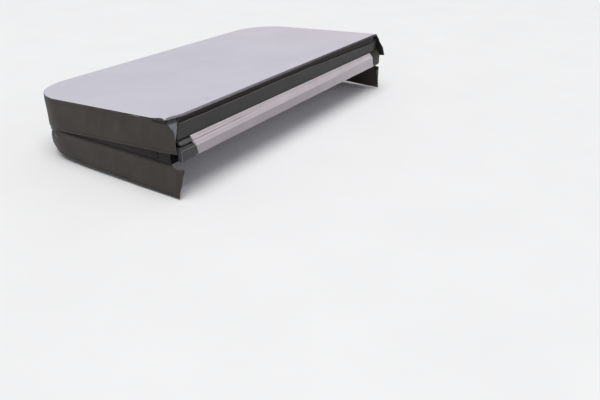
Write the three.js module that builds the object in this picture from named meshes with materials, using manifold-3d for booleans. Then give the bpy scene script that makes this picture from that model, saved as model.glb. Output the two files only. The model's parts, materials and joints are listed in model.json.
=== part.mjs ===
// Bi-fold insulated spa cover, folded: the flap half lies upside down on the fixed half.
// Millimetres, +Z up. The origin is the middle of the fixed half's flat underside, +Y runs
// along the fold and +X points from the outer edge towards the fold.
import * as THREE from 'three';
import { mergeVertices } from 'three/addons/utils/BufferGeometryUtils.js';
import Module from 'manifold-3d';

const wasm = await Module();
wasm.setup();

// Whole cover
const LENGTH = 2100;
const HALF_WIDTH = 1040;
const HINGE_THICKNESS = 105;
const OUTER_THICKNESS = 77;
const CORNER_RADIUS = 275;

// Fold
const FOLD_GAP = 20; // hinge wall to fold line
const FOLD_RISE = 1; // fold line above the top panels
const FOLD_VINYL = 1.3;

// Sheet thicknesses and the space kept between neighbours
const CLEARANCE = 0.3;
const VINYL = 1.5;
const LINER = 1.2;
const WRAP = 0.5;

// Skirts
const SKIRT_THICKNESS = 3;
const FIXED_SKIRT = { ease: 0.5, low: -160.3, high: -0.3 };
const FLAP_SKIRT = { ease: 5.5, low: 0.5, high: 153 };
const SKIRT_OVERLAP = 38; // fixed skirt past the hinge wall
const SKIRT_RETURN = 30;
const RETURN_RADIUS = 10;
const FLAP_SKIRT_END = { cutBack: 25, past: 44, cutDepth: 45 }; // slanted ends at the hinge side

// Steel channel in the hinge edge of each foam core
const CHANNEL = { height: 70, depth: 30, wall: 1.2, endGap: 20 };

// Zip under each hinge wall edge
const ZIP = { half: 990, low: 6, high: 34, tape: 1.2, ridge: 2.4, ridgeHalf: 2 };
const ZIP_POCKET = { depth: 13, high: 40 }; // hollow behind the heat seal pad
const SLIDER = { half: 9, travelEnd: 955, reach: 7, height: 12 };

// Heat seal pad on the fixed half and zip fly on the flap half
const PAD_DEPTH = 42;
const NEAR_CAP = { start: 15, end: 130 }; // dark end sleeves, measured in from the sides
const FAR_CAP = { start: 20, end: 120 };
const FLY = { lipBack: 11.5, lip: 13.5, face: 21, ridge: 22, pocketHigh: 40, top: 101 };
const FLY_NEAR_END = 35; // side to fly, closed by a gusset
const FLY_FAR_END = 78;
const GUSSET_GAP = 2;

// Trim
const PIPING_RADIUS = 2;
const PIPING_GAP = 1;
const GROMMET = { outer: 10, inner: 5, along: 700, inboard: 60 };
const PATCH = { width: 85, low: 6, high: 96, thickness: 1.2 };
const HANDLE = { half: 105, tab: 38, webbing: 38, thickness: 2.6, bow: 30, patch: 1.5 };

const HINGE_WALL_X = HALF_WIDTH / 2;
const OUTER_X = -HALF_WIDTH / 2;
const SIDE_Y = LENGTH / 2;
const TAPER = Math.atan((HINGE_THICKNESS - OUTER_THICKNESS) / HALF_WIDTH);
const FOLD_X = HINGE_WALL_X + FOLD_GAP;
const FOLD_Z = HINGE_THICKNESS + FOLD_RISE;
const CORE_INSET = VINYL + WRAP + 2 * CLEARANCE;
const ARC_SEGMENTS = 14;

const material = (color, roughness, metalness = 0) =>
  new THREE.MeshStandardMaterial({ color, roughness, metalness });
const MATERIALS = {
  vinyl: material(0x3c3834, 0.55),
  liner: material(0xc8c5d0, 0.5),
  pad: material(0xb5acb2, 0.6),
  foam: material(0xf2f1ec, 0.9),
  wrap: material(0xd9dde0, 0.3),
  steel: material(0xa8acb0, 0.35, 1),
  zip: material(0x26262a, 0.6),
  slider: material(0x9a9a9c, 0.35, 1),
  webbing: material(0x2b2927, 0.85),
  nylon: material(0xcfccd6, 0.45),
};

// ---- Geometry helpers --------------------------------------------------------------------

const topZ = (x) => HINGE_THICKNESS - (HINGE_WALL_X - x) * Math.tan(TAPER);

function toSolid(geometry) {
  const bare = geometry.clone();
  bare.deleteAttribute('normal');
  bare.deleteAttribute('uv');
  const merged = mergeVertices(bare, 1e-4);
  return new wasm.Manifold(
    new wasm.Mesh({
      numProp: 3,
      vertProperties: merged.attributes.position.array,
      triVerts: new Uint32Array(merged.index.array),
    }),
  );
}

function toGeometry(solid) {
  const mesh = solid.getMesh();
  const geometry = new THREE.BufferGeometry();
  geometry.setAttribute('position', new THREE.BufferAttribute(mesh.vertProperties, 3));
  geometry.setIndex(new THREE.BufferAttribute(mesh.triVerts, 1));
  geometry.computeVertexNormals();
  return geometry;
}

function cutAway(geometry, ...tools) {
  const start = toSolid(geometry);
  return toGeometry(tools.reduce((solid, tool) => solid.subtract(toSolid(tool)), start));
}

function box(x, y, z) {
  const geometry = new THREE.BoxGeometry(x[1] - x[0], y[1] - y[0], z[1] - z[0]);
  return geometry.translate((x[0] + x[1]) / 2, (y[0] + y[1]) / 2, (z[0] + z[1]) / 2);
}

// A plan shape between two surfaces whose height depends on x only.
function slab(shape, lower, upper) {
  const options = { depth: 1, bevelEnabled: false, curveSegments: ARC_SEGMENTS };
  const geometry = new THREE.ExtrudeGeometry(shape, options);
  const position = geometry.attributes.position;
  for (let i = 0; i < position.count; i += 1) {
    const x = position.getX(i);
    const share = position.getZ(i);
    position.setZ(i, lower(x) + share * (upper(x) - lower(x)));
  }
  geometry.computeVertexNormals();
  return geometry;
}

const level = (z) => () => z;

// A side view in x and z, drawn out along y.
function alongY(points, y) {
  const shape = new THREE.Shape(points.map(([x, z]) => new THREE.Vector2(x, z)));
  const geometry = new THREE.ExtrudeGeometry(shape, {
    depth: y[1] - y[0],
    bevelEnabled: false,
    curveSegments: ARC_SEGMENTS,
  });
  return geometry.rotateX(Math.PI / 2).translate(0, y[1], 0);
}

// Plan outline of a half, moved in by inset on all sides, with two round outer corners.
function halfOutline(inset, hingeInset = inset) {
  const radius = CORNER_RADIUS - inset;
  const hinge = HINGE_WALL_X - hingeInset;
  const side = SIDE_Y - inset;
  const centreX = OUTER_X + CORNER_RADIUS;
  const centreY = SIDE_Y - CORNER_RADIUS;
  const shape = new THREE.Shape();
  shape.moveTo(hinge, -side);
  shape.lineTo(hinge, side);
  shape.lineTo(centreX, side);
  shape.absarc(centreX, centreY, radius, Math.PI / 2, Math.PI, false);
  shape.lineTo(OUTER_X + inset, -centreY);
  shape.absarc(centreX, -centreY, radius, Math.PI, Math.PI * 1.5, false);
  shape.closePath();
  return shape;
}

// The band between two insets, open at the hinge side.
function bandOutline(outerInset, innerInset, hingeX) {
  const centreX = OUTER_X + CORNER_RADIUS;
  const centreY = SIDE_Y - CORNER_RADIUS;
  const outer = CORNER_RADIUS - outerInset;
  const inner = CORNER_RADIUS - innerInset;
  const shape = new THREE.Shape();
  shape.moveTo(hingeX, SIDE_Y - outerInset);
  shape.absarc(centreX, centreY, outer, Math.PI / 2, Math.PI, false);
  shape.absarc(centreX, -centreY, outer, Math.PI, Math.PI * 1.5, false);
  shape.lineTo(hingeX, -SIDE_Y + outerInset);
  shape.lineTo(hingeX, -SIDE_Y + innerInset);
  shape.absarc(centreX, -centreY, inner, Math.PI * 1.5, Math.PI, true);
  shape.absarc(centreX, centreY, inner, Math.PI, Math.PI / 2, true);
  shape.lineTo(hingeX, SIDE_Y - innerInset);
  shape.closePath();
  return shape;
}

function mesh(name, geometry, finish) {
  const piece = new THREE.Mesh(geometry, MATERIALS[finish]);
  piece.name = name;
  return piece;
}

// ---- Insulation inside a half ------------------------------------------------------------

function channelOutline(grow) {
  const web = HINGE_WALL_X - CORE_INSET;
  const middle = HINGE_THICKNESS / 2;
  const outside = CHANNEL.height / 2 + grow;
  const inside = CHANNEL.height / 2 - CHANNEL.wall - grow;
  const back = web - CHANNEL.depth - grow;
  const front = web + grow;
  const inner = web - CHANNEL.wall - grow;
  return [
    [front, middle - outside],
    [front, middle + outside],
    [back, middle + outside],
    [back, middle + inside],
    [inner, middle + inside],
    [inner, middle - inside],
    [back, middle - inside],
    [back, middle - outside],
  ];
}

function steelChannel() {
  const reach = SIDE_Y - CHANNEL.endGap;
  return alongY(channelOutline(0), [-reach, reach]);
}

function foamCore() {
  const bottom = LINER + WRAP + 2 * CLEARANCE;
  const block = slab(halfOutline(CORE_INSET), level(bottom), (x) => topZ(x) - CORE_INSET);
  const reach = SIDE_Y - CHANNEL.endGap + CLEARANCE;
  return cutAway(block, alongY(channelOutline(CLEARANCE), [-reach, reach]));
}

// Film sleeve round the core, left open along its lapped seam at the hinge face.
function vapourWrap() {
  const inside = VINYL + WRAP + CLEARANCE;
  const outside = VINYL + CLEARANCE;
  const skin = slab(
    halfOutline(outside),
    level(LINER + CLEARANCE),
    (x) => topZ(x) - outside,
  );
  const hollow = slab(
    halfOutline(inside),
    level(LINER + CLEARANCE + WRAP),
    (x) => topZ(x) - inside,
  );
  const middle = HINGE_THICKNESS / 2;
  const reach = SIDE_Y - CORNER_RADIUS;
  const seam = box(
    [HINGE_WALL_X - 5, HINGE_WALL_X],
    [-reach, reach],
    [middle - 1, middle + 1],
  );
  return cutAway(skin, hollow, seam);
}

// ---- Vinyl jacket of a half --------------------------------------------------------------

function topPanel() {
  return slab(halfOutline(0), (x) => topZ(x) - VINYL, topZ);
}

function sideWall() {
  const end = HINGE_WALL_X - VINYL - CLEARANCE;
  const top = (x) => topZ(x) - VINYL - CLEARANCE;
  return slab(bandOutline(0, VINYL, end), level(CLEARANCE), top);
}

function hingeWall() {
  const top = topZ(HINGE_WALL_X - VINYL) - VINYL - CLEARANCE;
  return box([HINGE_WALL_X - VINYL, HINGE_WALL_X], [-SIDE_Y, SIDE_Y], [CLEARANCE, top]);
}

function grommetPlaces() {
  const x = HINGE_WALL_X - GROMMET.inboard;
  return [
    [x, -GROMMET.along],
    [x, GROMMET.along],
  ];
}

function underLiner() {
  const sheet = slab(halfOutline(VINYL + CLEARANCE + 0.2), level(0), level(LINER));
  const holes = grommetPlaces().map(([x, y]) =>
    new THREE.CylinderGeometry(GROMMET.outer + CLEARANCE, GROMMET.outer + CLEARANCE, 10, 32)
      .rotateX(Math.PI / 2)
      .translate(x, y, 0),
  );
  return cutAway(sheet, ...holes);
}

function grommet(x, y) {
  const profile = [
    [GROMMET.inner, 0.1],
    [GROMMET.outer, 0.1],
    [GROMMET.outer, LINER],
    [GROMMET.inner, LINER],
    [GROMMET.inner, 0.1],
  ].map(([r, z]) => new THREE.Vector2(r, z));
  return new THREE.LatheGeometry(profile, 32).rotateX(Math.PI / 2).translate(x, y, 0);
}

// Welt round the top seam, from one hinge corner to the other.
class SeamCurve extends THREE.Curve {
  constructor(plan, drop) {
    super();
    this.plan = plan;
    this.drop = drop;
  }

  getPoint(t, target = new THREE.Vector3()) {
    const { x, y } = this.plan.getPoint(t);
    return target.set(x, y, topZ(x) - this.drop);
  }
}

function topPiping() {
  const offset = PIPING_RADIUS + PIPING_GAP;
  const centreX = OUTER_X + CORNER_RADIUS;
  const centreY = SIDE_Y - CORNER_RADIUS;
  const radius = CORNER_RADIUS + offset;
  const plan = new THREE.Path();
  plan.moveTo(HINGE_WALL_X - 2, SIDE_Y + offset);
  plan.lineTo(centreX, SIDE_Y + offset);
  plan.absarc(centreX, centreY, radius, Math.PI / 2, Math.PI, false);
  plan.lineTo(OUTER_X - offset, -centreY);
  plan.absarc(centreX, -centreY, radius, Math.PI, Math.PI * 1.5, false);
  plan.lineTo(HINGE_WALL_X - 2, -SIDE_Y - offset);
  const section = new THREE.Shape().absarc(0, 0, PIPING_RADIUS, 0, Math.PI * 2, false);
  return new THREE.ExtrudeGeometry(section, {
    steps: 100,
    curveSegments: 3,
    bevelEnabled: false,
    extrudePath: new SeamCurve(plan, PIPING_RADIUS + CLEARANCE),
  });
}

// ---- Zip along the hinge wall ------------------------------------------------------------

function zipTape() {
  const back = HINGE_WALL_X + CLEARANCE;
  const front = back + ZIP.tape;
  const middle = (ZIP.low + ZIP.high) / 2;
  const outline = [
    [back, ZIP.low],
    [front, ZIP.low],
    [front, middle - ZIP.ridgeHalf],
    [front + ZIP.ridge, middle - ZIP.ridgeHalf],
    [front + ZIP.ridge, middle + ZIP.ridgeHalf],
    [front, middle + ZIP.ridgeHalf],
    [front, ZIP.high],
    [back, ZIP.high],
  ];
  return alongY(outline, [-ZIP.half, ZIP.half]);
}

function zipSlider(y) {
  const back = HINGE_WALL_X + 2 * CLEARANCE + ZIP.tape;
  const front = back + SLIDER.reach;
  const middle = (ZIP.low + ZIP.high) / 2;
  const groove = ZIP.ridgeHalf + CLEARANCE;
  const grooveFront = back + ZIP.ridge + CLEARANCE;
  const outline = [
    [back, middle - SLIDER.height / 2],
    [front, middle - SLIDER.height / 2],
    [front, middle + SLIDER.height / 2],
    [back, middle + SLIDER.height / 2],
    [back, middle + groove],
    [grooveFront, middle + groove],
    [grooveFront, middle - groove],
    [back, middle - groove],
  ];
  return alongY(outline, [y - SLIDER.half, y + SLIDER.half]);
}

function zipPull(y) {
  const front = HINGE_WALL_X + 2 * CLEARANCE + ZIP.tape + SLIDER.reach;
  const middle = (ZIP.low + ZIP.high) / 2;
  const tab = [front + CLEARANCE, front + CLEARANCE + 1.5];
  return box(tab, [y - 4, y + 4], [middle - 11, middle + 5]);
}

// ---- Skirts ------------------------------------------------------------------------------

function skirtCorner(skirt, side) {
  const inner = CORNER_RADIUS + skirt.ease;
  const outer = inner + SKIRT_THICKNESS;
  const trim = CLEARANCE / inner;
  const start = side > 0 ? Math.PI / 2 + trim : Math.PI + trim;
  const end = start + Math.PI / 2 - 2 * trim;
  const shape = new THREE.Shape();
  shape.absarc(0, 0, outer, start, end, false);
  shape.absarc(0, 0, inner, end, start, true);
  shape.closePath();
  const geometry = slab(shape, level(skirt.low), level(skirt.high));
  const centreX = OUTER_X + CORNER_RADIUS;
  return geometry.translate(centreX, side * (SIDE_Y - CORNER_RADIUS), 0);
}

function skirtOuter(skirt) {
  const inner = OUTER_X - skirt.ease;
  const reach = SIDE_Y - CORNER_RADIUS - CLEARANCE;
  return box([inner - SKIRT_THICKNESS, inner], [-reach, reach], [skirt.low, skirt.high]);
}

// Side panel that turns inwards past the hinge wall, under the heat seal pad.
function fixedSkirtSide(side) {
  const inner = SIDE_Y + FIXED_SKIRT.ease;
  const outer = inner + SKIRT_THICKNESS;
  const start = OUTER_X + CORNER_RADIUS + CLEARANCE;
  const end = HINGE_WALL_X + SKIRT_OVERLAP;
  const centreX = end - RETURN_RADIUS;
  const centreY = outer - RETURN_RADIUS;
  const bend = RETURN_RADIUS - SKIRT_THICKNESS;
  const shape = new THREE.Shape();
  shape.moveTo(start, inner);
  shape.absarc(centreX, centreY, bend, Math.PI / 2, 0, true);
  shape.lineTo(end - SKIRT_THICKNESS, outer - SKIRT_RETURN);
  shape.lineTo(end, outer - SKIRT_RETURN);
  shape.absarc(centreX, centreY, RETURN_RADIUS, 0, Math.PI / 2, false);
  shape.lineTo(start, outer);
  shape.closePath();
  const geometry = slab(shape, level(FIXED_SKIRT.low), level(FIXED_SKIRT.high));
  return side > 0 ? geometry : geometry.rotateX(Math.PI).translate(0, 0, skirtMiddle() * 2);
}

const skirtMiddle = () => (FIXED_SKIRT.low + FIXED_SKIRT.high) / 2;

// Side panel of the flap's skirt, whose end is cut back towards its sewn edge.
function flapSkirtSide(side) {
  const start = OUTER_X + CORNER_RADIUS + CLEARANCE;
  const end = HINGE_WALL_X + FLAP_SKIRT_END.past;
  const outline = [
    [start, FLAP_SKIRT.low],
    [HINGE_WALL_X - FLAP_SKIRT_END.cutBack, FLAP_SKIRT.low],
    [end, FLAP_SKIRT_END.cutDepth],
    [end, FLAP_SKIRT.high],
    [start, FLAP_SKIRT.high],
  ];
  const inner = SIDE_Y + FLAP_SKIRT.ease;
  const outer = inner + SKIRT_THICKNESS;
  return alongY(outline, side > 0 ? [inner, outer] : [-outer, -inner]);
}

// ---- Lift handles on the outer skirts ----------------------------------------------------

function handlePatch(skirt, side) {
  const face = OUTER_X - skirt.ease - SKIRT_THICKNESS - CLEARANCE;
  const middleY = side * (HANDLE.half - HANDLE.tab / 2);
  const middleZ = (skirt.low + skirt.high) / 2;
  const half = HANDLE.tab / 2 + 8;
  return box(
    [face - HANDLE.patch, face],
    [middleY - half, middleY + half],
    [middleZ - half, middleZ + half],
  );
}

// Flat tabs at both ends and a bowed grip between them.
function handleStrap(skirt) {
  const face = OUTER_X - skirt.ease - SKIRT_THICKNESS - HANDLE.patch - 2 * CLEARANCE;
  const middleZ = (skirt.low + skirt.high) / 2;
  const grip = HANDLE.half - HANDLE.tab;
  const bow = (y) => {
    const share = Math.min(Math.abs(y) / grip, 1);
    return HANDLE.bow * Math.cos((share ** 2 * Math.PI) / 2) ** 2;
  };
  const steps = 28;
  const stations = Array.from({ length: steps + 1 }, (_, i) => (i / steps - 0.5) * 2 * grip);
  const back = [-HANDLE.half, ...stations, HANDLE.half].map((y) => [face - bow(y), y]);
  const front = [...back].reverse().map(([x, y]) => [x - HANDLE.thickness, y]);
  const shape = new THREE.Shape([...back, ...front].map(([x, y]) => new THREE.Vector2(x, y)));
  const half = HANDLE.webbing / 2;
  return slab(shape, level(middleZ - half), level(middleZ + half));
}

// ---- Soft pieces at the fold -------------------------------------------------------------

// The light foam-filled strip that fills the gap between the halves when the cover is open.
function heatSealPad() {
  const back = HINGE_WALL_X + CLEARANCE;
  const outline = [
    [back, ZIP_POCKET.high],
    [HINGE_WALL_X + ZIP_POCKET.depth, ZIP_POCKET.high],
    [HINGE_WALL_X + ZIP_POCKET.depth, 3],
    [HINGE_WALL_X + PAD_DEPTH - 3, 3],
    [HINGE_WALL_X + PAD_DEPTH, 8],
    [HINGE_WALL_X + PAD_DEPTH, 66],
    [HINGE_WALL_X + FOLD_GAP, 102],
    [back, 102],
  ];
  return alongY(outline, [-SIDE_Y + NEAR_CAP.end, SIDE_Y - FAR_CAP.end]);
}

function padCap(side, cap) {
  const far = [SIDE_Y - cap.end + CLEARANCE, SIDE_Y - cap.start];
  const y = side > 0 ? far : [-far[1], -far[0]];
  const back = HINGE_WALL_X + CLEARANCE;
  const outline = [
    [back, ZIP_POCKET.high],
    [HINGE_WALL_X + ZIP_POCKET.depth, ZIP_POCKET.high],
    [HINGE_WALL_X + ZIP_POCKET.depth, 5],
    [HINGE_WALL_X + PAD_DEPTH, 5],
    [HINGE_WALL_X + PAD_DEPTH + 5, 20],
    [HINGE_WALL_X + PAD_DEPTH + 1, 64],
    [HINGE_WALL_X + PAD_DEPTH - 9, 82],
    [HINGE_WALL_X + FOLD_GAP, 102],
    [back, 102],
  ];
  return alongY(outline, y);
}

// Vinyl fly over the flap's zip: a thin lip in front of the zip and a padded part down to the fold.
function zipFly() {
  const back = HINGE_WALL_X + CLEARANCE;
  const outline = [
    [back, FLY.pocketHigh],
    [HINGE_WALL_X + FLY.lipBack, FLY.pocketHigh],
    [HINGE_WALL_X + FLY.lipBack, 7],
    [HINGE_WALL_X + FLY.lip, 7],
    [HINGE_WALL_X + FLY.lip, FLY.ridge - 1],
    [HINGE_WALL_X + FLY.face, FLY.ridge],
    [HINGE_WALL_X + FOLD_GAP, FLY.top],
    [back, FLY.top],
  ];
  return alongY(outline, [-SIDE_Y + FLY_FAR_END, SIDE_Y - FLY_NEAR_END]);
}

// Folded vinyl gusset that closes the hinge edge between the fly and a side wall.
function flyGusset(side, flyEnd, low) {
  const past = [SIDE_Y - flyEnd + CLEARANCE, SIDE_Y - GUSSET_GAP];
  const y = side > 0 ? past : [-past[1], -past[0]];
  const back = HINGE_WALL_X + CLEARANCE;
  const outline = [
    [back, low],
    [back + 6, low + 6],
    [back + 10, 60],
    [back + 8, FLY.top],
    [back, FLY.top],
  ];
  return alongY(outline, y);
}

// Doubled vinyl that joins the two top panels, shut like a hairpin round the fold line.
function foldStrip() {
  const outer = FOLD_RISE + 0.9;
  const inner = outer - FOLD_VINYL;
  const back = HINGE_WALL_X + CLEARANCE;
  const bend = (radius, from, to) => {
    const turns = Array.from({ length: 9 }, (_, i) => from + ((to - from) * i) / 8);
    return turns.map((a) => [FOLD_X + radius * Math.cos(a), FOLD_Z + radius * Math.sin(a)]);
  };
  const outline = [
    [back, FOLD_Z - outer],
    ...bend(outer, -Math.PI / 2, Math.PI / 2),
    [back, FOLD_Z + outer],
    [back, FOLD_Z + inner],
    ...bend(inner, Math.PI / 2, -Math.PI / 2),
    [back, FOLD_Z - inner],
  ];
  return alongY(outline, [-SIDE_Y, SIDE_Y]);
}

function hingePatch(side) {
  const inner = SIDE_Y + CLEARANCE;
  const outer = inner + PATCH.thickness;
  return box(
    [HINGE_WALL_X - PATCH.width, HINGE_WALL_X - 1],
    side > 0 ? [inner, outer] : [-outer, -inner],
    [PATCH.low, PATCH.high],
  );
}

// ---- Assembly ----------------------------------------------------------------------------

// The pieces that both halves have. near is the sign of y of the half's near side.
function halfPieces(name, near) {
  const group = new THREE.Group();
  group.add(
    mesh(`${name}_foam_core`, foamCore(), 'foam'),
    mesh(`${name}_vapour_wrap`, vapourWrap(), 'wrap'),
    mesh(`${name}_steel_channel`, steelChannel(), 'steel'),
    mesh(`${name}_top_panel`, topPanel(), 'vinyl'),
    mesh(`${name}_side_wall`, sideWall(), 'vinyl'),
    mesh(`${name}_hinge_wall`, hingeWall(), 'vinyl'),
    mesh(`${name}_underside_liner`, underLiner(), 'liner'),
    mesh(`${name}_top_piping`, topPiping(), 'vinyl'),
    mesh(`${name}_zip_tape`, zipTape(), 'zip'),
    mesh(`${name}_zip_slider`, zipSlider(-near * SLIDER.travelEnd), 'slider'),
    mesh(`${name}_zip_pull`, zipPull(-near * SLIDER.travelEnd), 'slider'),
    mesh(`${name}_hinge_patch_near`, hingePatch(near), 'vinyl'),
    mesh(`${name}_hinge_patch_far`, hingePatch(-near), 'vinyl'),
  );
  for (const [x, y] of grommetPlaces()) {
    const place = y * near > 0 ? 'near' : 'far';
    group.add(mesh(`${name}_drain_grommet_${place}`, grommet(x, y), 'nylon'));
  }
  return group;
}

function skirtPieces(name, skirt, sidePanel, near) {
  const group = new THREE.Group();
  for (const [place, side] of [['near', near], ['far', -near]]) {
    group.add(
      mesh(`${name}_skirt_${place}`, sidePanel(side), 'vinyl'),
      mesh(`${name}_skirt_${place}_corner`, skirtCorner(skirt, side), 'vinyl'),
      mesh(`${name}_handle_patch_${place}`, handlePatch(skirt, side), 'vinyl'),
    );
  }
  group.add(
    mesh(`${name}_skirt_outer`, skirtOuter(skirt), 'vinyl'),
    mesh(`${name}_handle`, handleStrap(skirt), 'webbing'),
  );
  return group;
}

function fixedHalf() {
  const half = new THREE.Group();
  half.add(
    halfPieces('fixed', -1),
    skirtPieces('fixed', FIXED_SKIRT, fixedSkirtSide, -1),
    mesh('heat_seal_pad', heatSealPad(), 'pad'),
    mesh('heat_seal_cap_near', padCap(-1, NEAR_CAP), 'vinyl'),
    mesh('heat_seal_cap_far', padCap(1, FAR_CAP), 'vinyl'),
    mesh('fold_strip', foldStrip(), 'vinyl'),
  );
  return half;
}

// Built like the fixed half, then turned over end for end about the fold line.
function flapHalf() {
  const pieces = new THREE.Group();
  pieces.add(
    halfPieces('flap', 1),
    skirtPieces('flap', FLAP_SKIRT, flapSkirtSide, 1),
    mesh('flap_zip_fly', zipFly(), 'vinyl'),
    mesh('flap_gusset_near', flyGusset(1, FLY_NEAR_END, 4), 'vinyl'),
    mesh('flap_gusset_far', flyGusset(-1, FLY_FAR_END, ZIP.high + 1), 'vinyl'),
  );
  pieces.position.set(-FOLD_X, 0, -FOLD_Z);
  const turnedOver = new THREE.Group();
  turnedOver.rotation.x = Math.PI;
  turnedOver.add(pieces);
  const flap = new THREE.Group();
  flap.position.set(FOLD_X, 0, FOLD_Z);
  flap.rotation.y = -2 * TAPER;
  flap.add(turnedOver);
  return flap;
}

const cover = new THREE.Group();
cover.add(fixedHalf(), flapHalf());

export default cover;
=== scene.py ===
"""Folded bi-fold spa cover: the looks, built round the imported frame. Metres, +Z up.

Both halves are drawn in the fixed half's own axes: x from the outer edge to the hinge wall, y along
the fold with the near end at -y, z up from the flat underside. The flap half is the same drawing
mirrored over the fold line, so near stays near.
"""
import json
import math

import bpy
import numpy as np
from mathutils import Matrix, Vector
from mathutils.kdtree import KDTree


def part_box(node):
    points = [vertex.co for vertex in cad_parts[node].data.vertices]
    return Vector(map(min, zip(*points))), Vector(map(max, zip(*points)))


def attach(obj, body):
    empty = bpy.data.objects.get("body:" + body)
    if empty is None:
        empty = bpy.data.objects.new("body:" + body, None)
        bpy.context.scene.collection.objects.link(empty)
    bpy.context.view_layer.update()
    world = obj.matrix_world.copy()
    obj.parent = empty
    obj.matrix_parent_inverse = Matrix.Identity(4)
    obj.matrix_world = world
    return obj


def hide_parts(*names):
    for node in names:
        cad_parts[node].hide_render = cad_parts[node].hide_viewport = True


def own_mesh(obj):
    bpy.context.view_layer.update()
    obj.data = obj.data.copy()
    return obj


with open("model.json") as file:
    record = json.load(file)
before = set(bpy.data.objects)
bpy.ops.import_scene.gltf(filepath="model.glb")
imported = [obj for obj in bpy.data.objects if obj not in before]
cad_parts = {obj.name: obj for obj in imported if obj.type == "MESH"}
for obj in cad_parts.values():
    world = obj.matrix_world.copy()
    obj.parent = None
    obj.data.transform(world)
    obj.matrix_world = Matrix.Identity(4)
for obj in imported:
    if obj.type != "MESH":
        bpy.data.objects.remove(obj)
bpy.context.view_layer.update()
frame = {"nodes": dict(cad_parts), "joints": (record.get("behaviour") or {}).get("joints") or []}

MM = 0.001

# ---- Sizes from the frame ---------------------------------------------------------------------
PANEL_LOW, PANEL_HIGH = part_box("fixed_top_panel")
OUTER_X = PANEL_LOW.x
WALL_X = PANEL_HIGH.x
SIDE_Y = PANEL_HIGH.y
HINGE_TOP = PANEL_HIGH.z
FOLD = next(joint for joint in frame["joints"] if joint["name"] == "fold")
FOLD_AT = Vector(FOLD["pos_m"])
TAPER = (math.radians(FOLD["range_deg"][1]) - math.pi) / 2
SKIRT_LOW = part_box("fixed_skirt_outer")[0].z
PAD_LOW, PAD_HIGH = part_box("heat_seal_pad")
CORNER = SIDE_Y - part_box("fixed_skirt_outer")[1].y
CENTRE_X = OUTER_X + CORNER
CENTRE_Y = SIDE_Y - CORNER
MIDDLE_X = (OUTER_X + WALL_X) / 2

MIRROR_FLAP = (
    Matrix.Translation(FOLD_AT)
    @ Matrix.Rotation(-2 * TAPER, 4, "Y")
    @ Matrix.Diagonal((1, 1, -1, 1))
    @ Matrix.Translation(-FOLD_AT)
)


def top_z(x):
    return HINGE_TOP - (WALL_X - x) * math.tan(TAPER)


# ---- Numbers ----------------------------------------------------------------------------------
def smooth(a, b, x):
    """0 at a, 1 at b, with an easy slope between."""
    t = np.clip((np.asarray(x, float) - a) / (b - a), 0, 1)
    return t * t * (3 - 2 * t)


def bump(centre, width, x):
    """A soft hump of height 1 at centre that has died away one width to either side."""
    t = np.clip(np.abs(np.asarray(x, float) - centre) / width, 0, 1)
    return 0.5 + 0.5 * np.cos(math.pi * t)


def eased(x, *knots):
    """A value that eases from one (place, value) knot to the next."""
    x = np.asarray(x, float)
    value = np.full(x.shape, float(knots[0][1]))
    for (a, low), (b, high) in zip(knots, knots[1:]):
        value = value + (high - low) * smooth(a, b, x)
    return value


def waves(points, length, seed, count=7):
    """Smooth noise from about -1 to 1 at points, an array of 2 or 3 columns, features length long."""
    rng = np.random.default_rng(seed)
    total = np.zeros(points.shape[:-1])
    for _ in range(count):
        way = rng.normal(size=points.shape[-1])
        way *= 2 * math.pi / (np.linalg.norm(way) * length * rng.uniform(0.7, 1.6))
        total += np.sin(points @ way + rng.uniform(0, 2 * math.pi))
    return total / math.sqrt(count)


def spots(*parts):
    """The parts, spread to one shape, as the columns of an array of points."""
    return np.stack(np.broadcast_arrays(*parts), axis=-1)


def stations(low, high, step, ends=0.0, ends_step=0.002):
    """Places from low to high about step apart, and closer together within ends of both ends."""
    if ends:
        count = max(2, int(round(ends / ends_step)))
        first = low + ends * np.linspace(0, 1, count, endpoint=False)
        last = high - ends * np.linspace(1, 0, count + 1)[1:]
        middle = np.linspace(low + ends, high - ends, max(2, int((high - low - 2 * ends) / step)))
        return np.concatenate([first, middle, last])
    return np.linspace(low, high, max(2, int((high - low) / step) + 1))


# ---- Mesh making ------------------------------------------------------------------------------
def new_object(name, vertices, faces):
    data = bpy.data.meshes.new(name)
    data.from_pydata(np.asarray(vertices, float).reshape(-1, 3).tolist(), [], faces)
    data.validate()
    data.update()
    data.shade_smooth()
    obj = bpy.data.objects.new(name, data)
    bpy.context.scene.collection.objects.link(obj)
    return obj


def apply_modifiers(obj):
    graph = bpy.context.evaluated_depsgraph_get()
    baked = bpy.data.meshes.new_from_object(obj.evaluated_get(graph))
    obj.modifiers.clear()
    obj.data = baked
    obj.data.shade_smooth()
    return obj


def grid_faces(rows, columns, wrap=False, first=0):
    last = columns if wrap else columns - 1
    faces = []
    for i in range(rows - 1):
        for j in range(last):
            k = (j + 1) % columns
            low, high = first + i * columns, first + (i + 1) * columns
            faces.append((low + j, low + k, high + k, high + j))
    return faces


def sheet(name, grid, thickness, offset=-1, levels=0):
    """A closed sheet from a rows x columns x 3 grid of points on its outer face."""
    rows, columns = grid.shape[:2]
    obj = new_object(name, grid, grid_faces(rows, columns))
    solid = obj.modifiers.new("thickness", "SOLIDIFY")
    solid.thickness = thickness
    solid.offset = offset
    solid.use_even_offset = True
    if levels:
        obj.modifiers.new("smooth", "SUBSURF").levels = levels
    return apply_modifiers(obj)


def loft_faces(rows, columns, first=0):
    """Faces of a tube of rings, with a fan to a middle point at each end."""
    faces = grid_faces(rows, columns, wrap=True, first=first)
    start = first + rows * columns
    for j in range(columns):
        k = (j + 1) % columns
        end = first + (rows - 1) * columns
        faces.append((start, first + k, first + j))
        faces.append((start + 1, end + j, end + k))
    return faces


def loft_points(sections):
    return np.vstack([sections.reshape(-1, 3), sections[0].mean(0), sections[-1].mean(0)])


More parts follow.
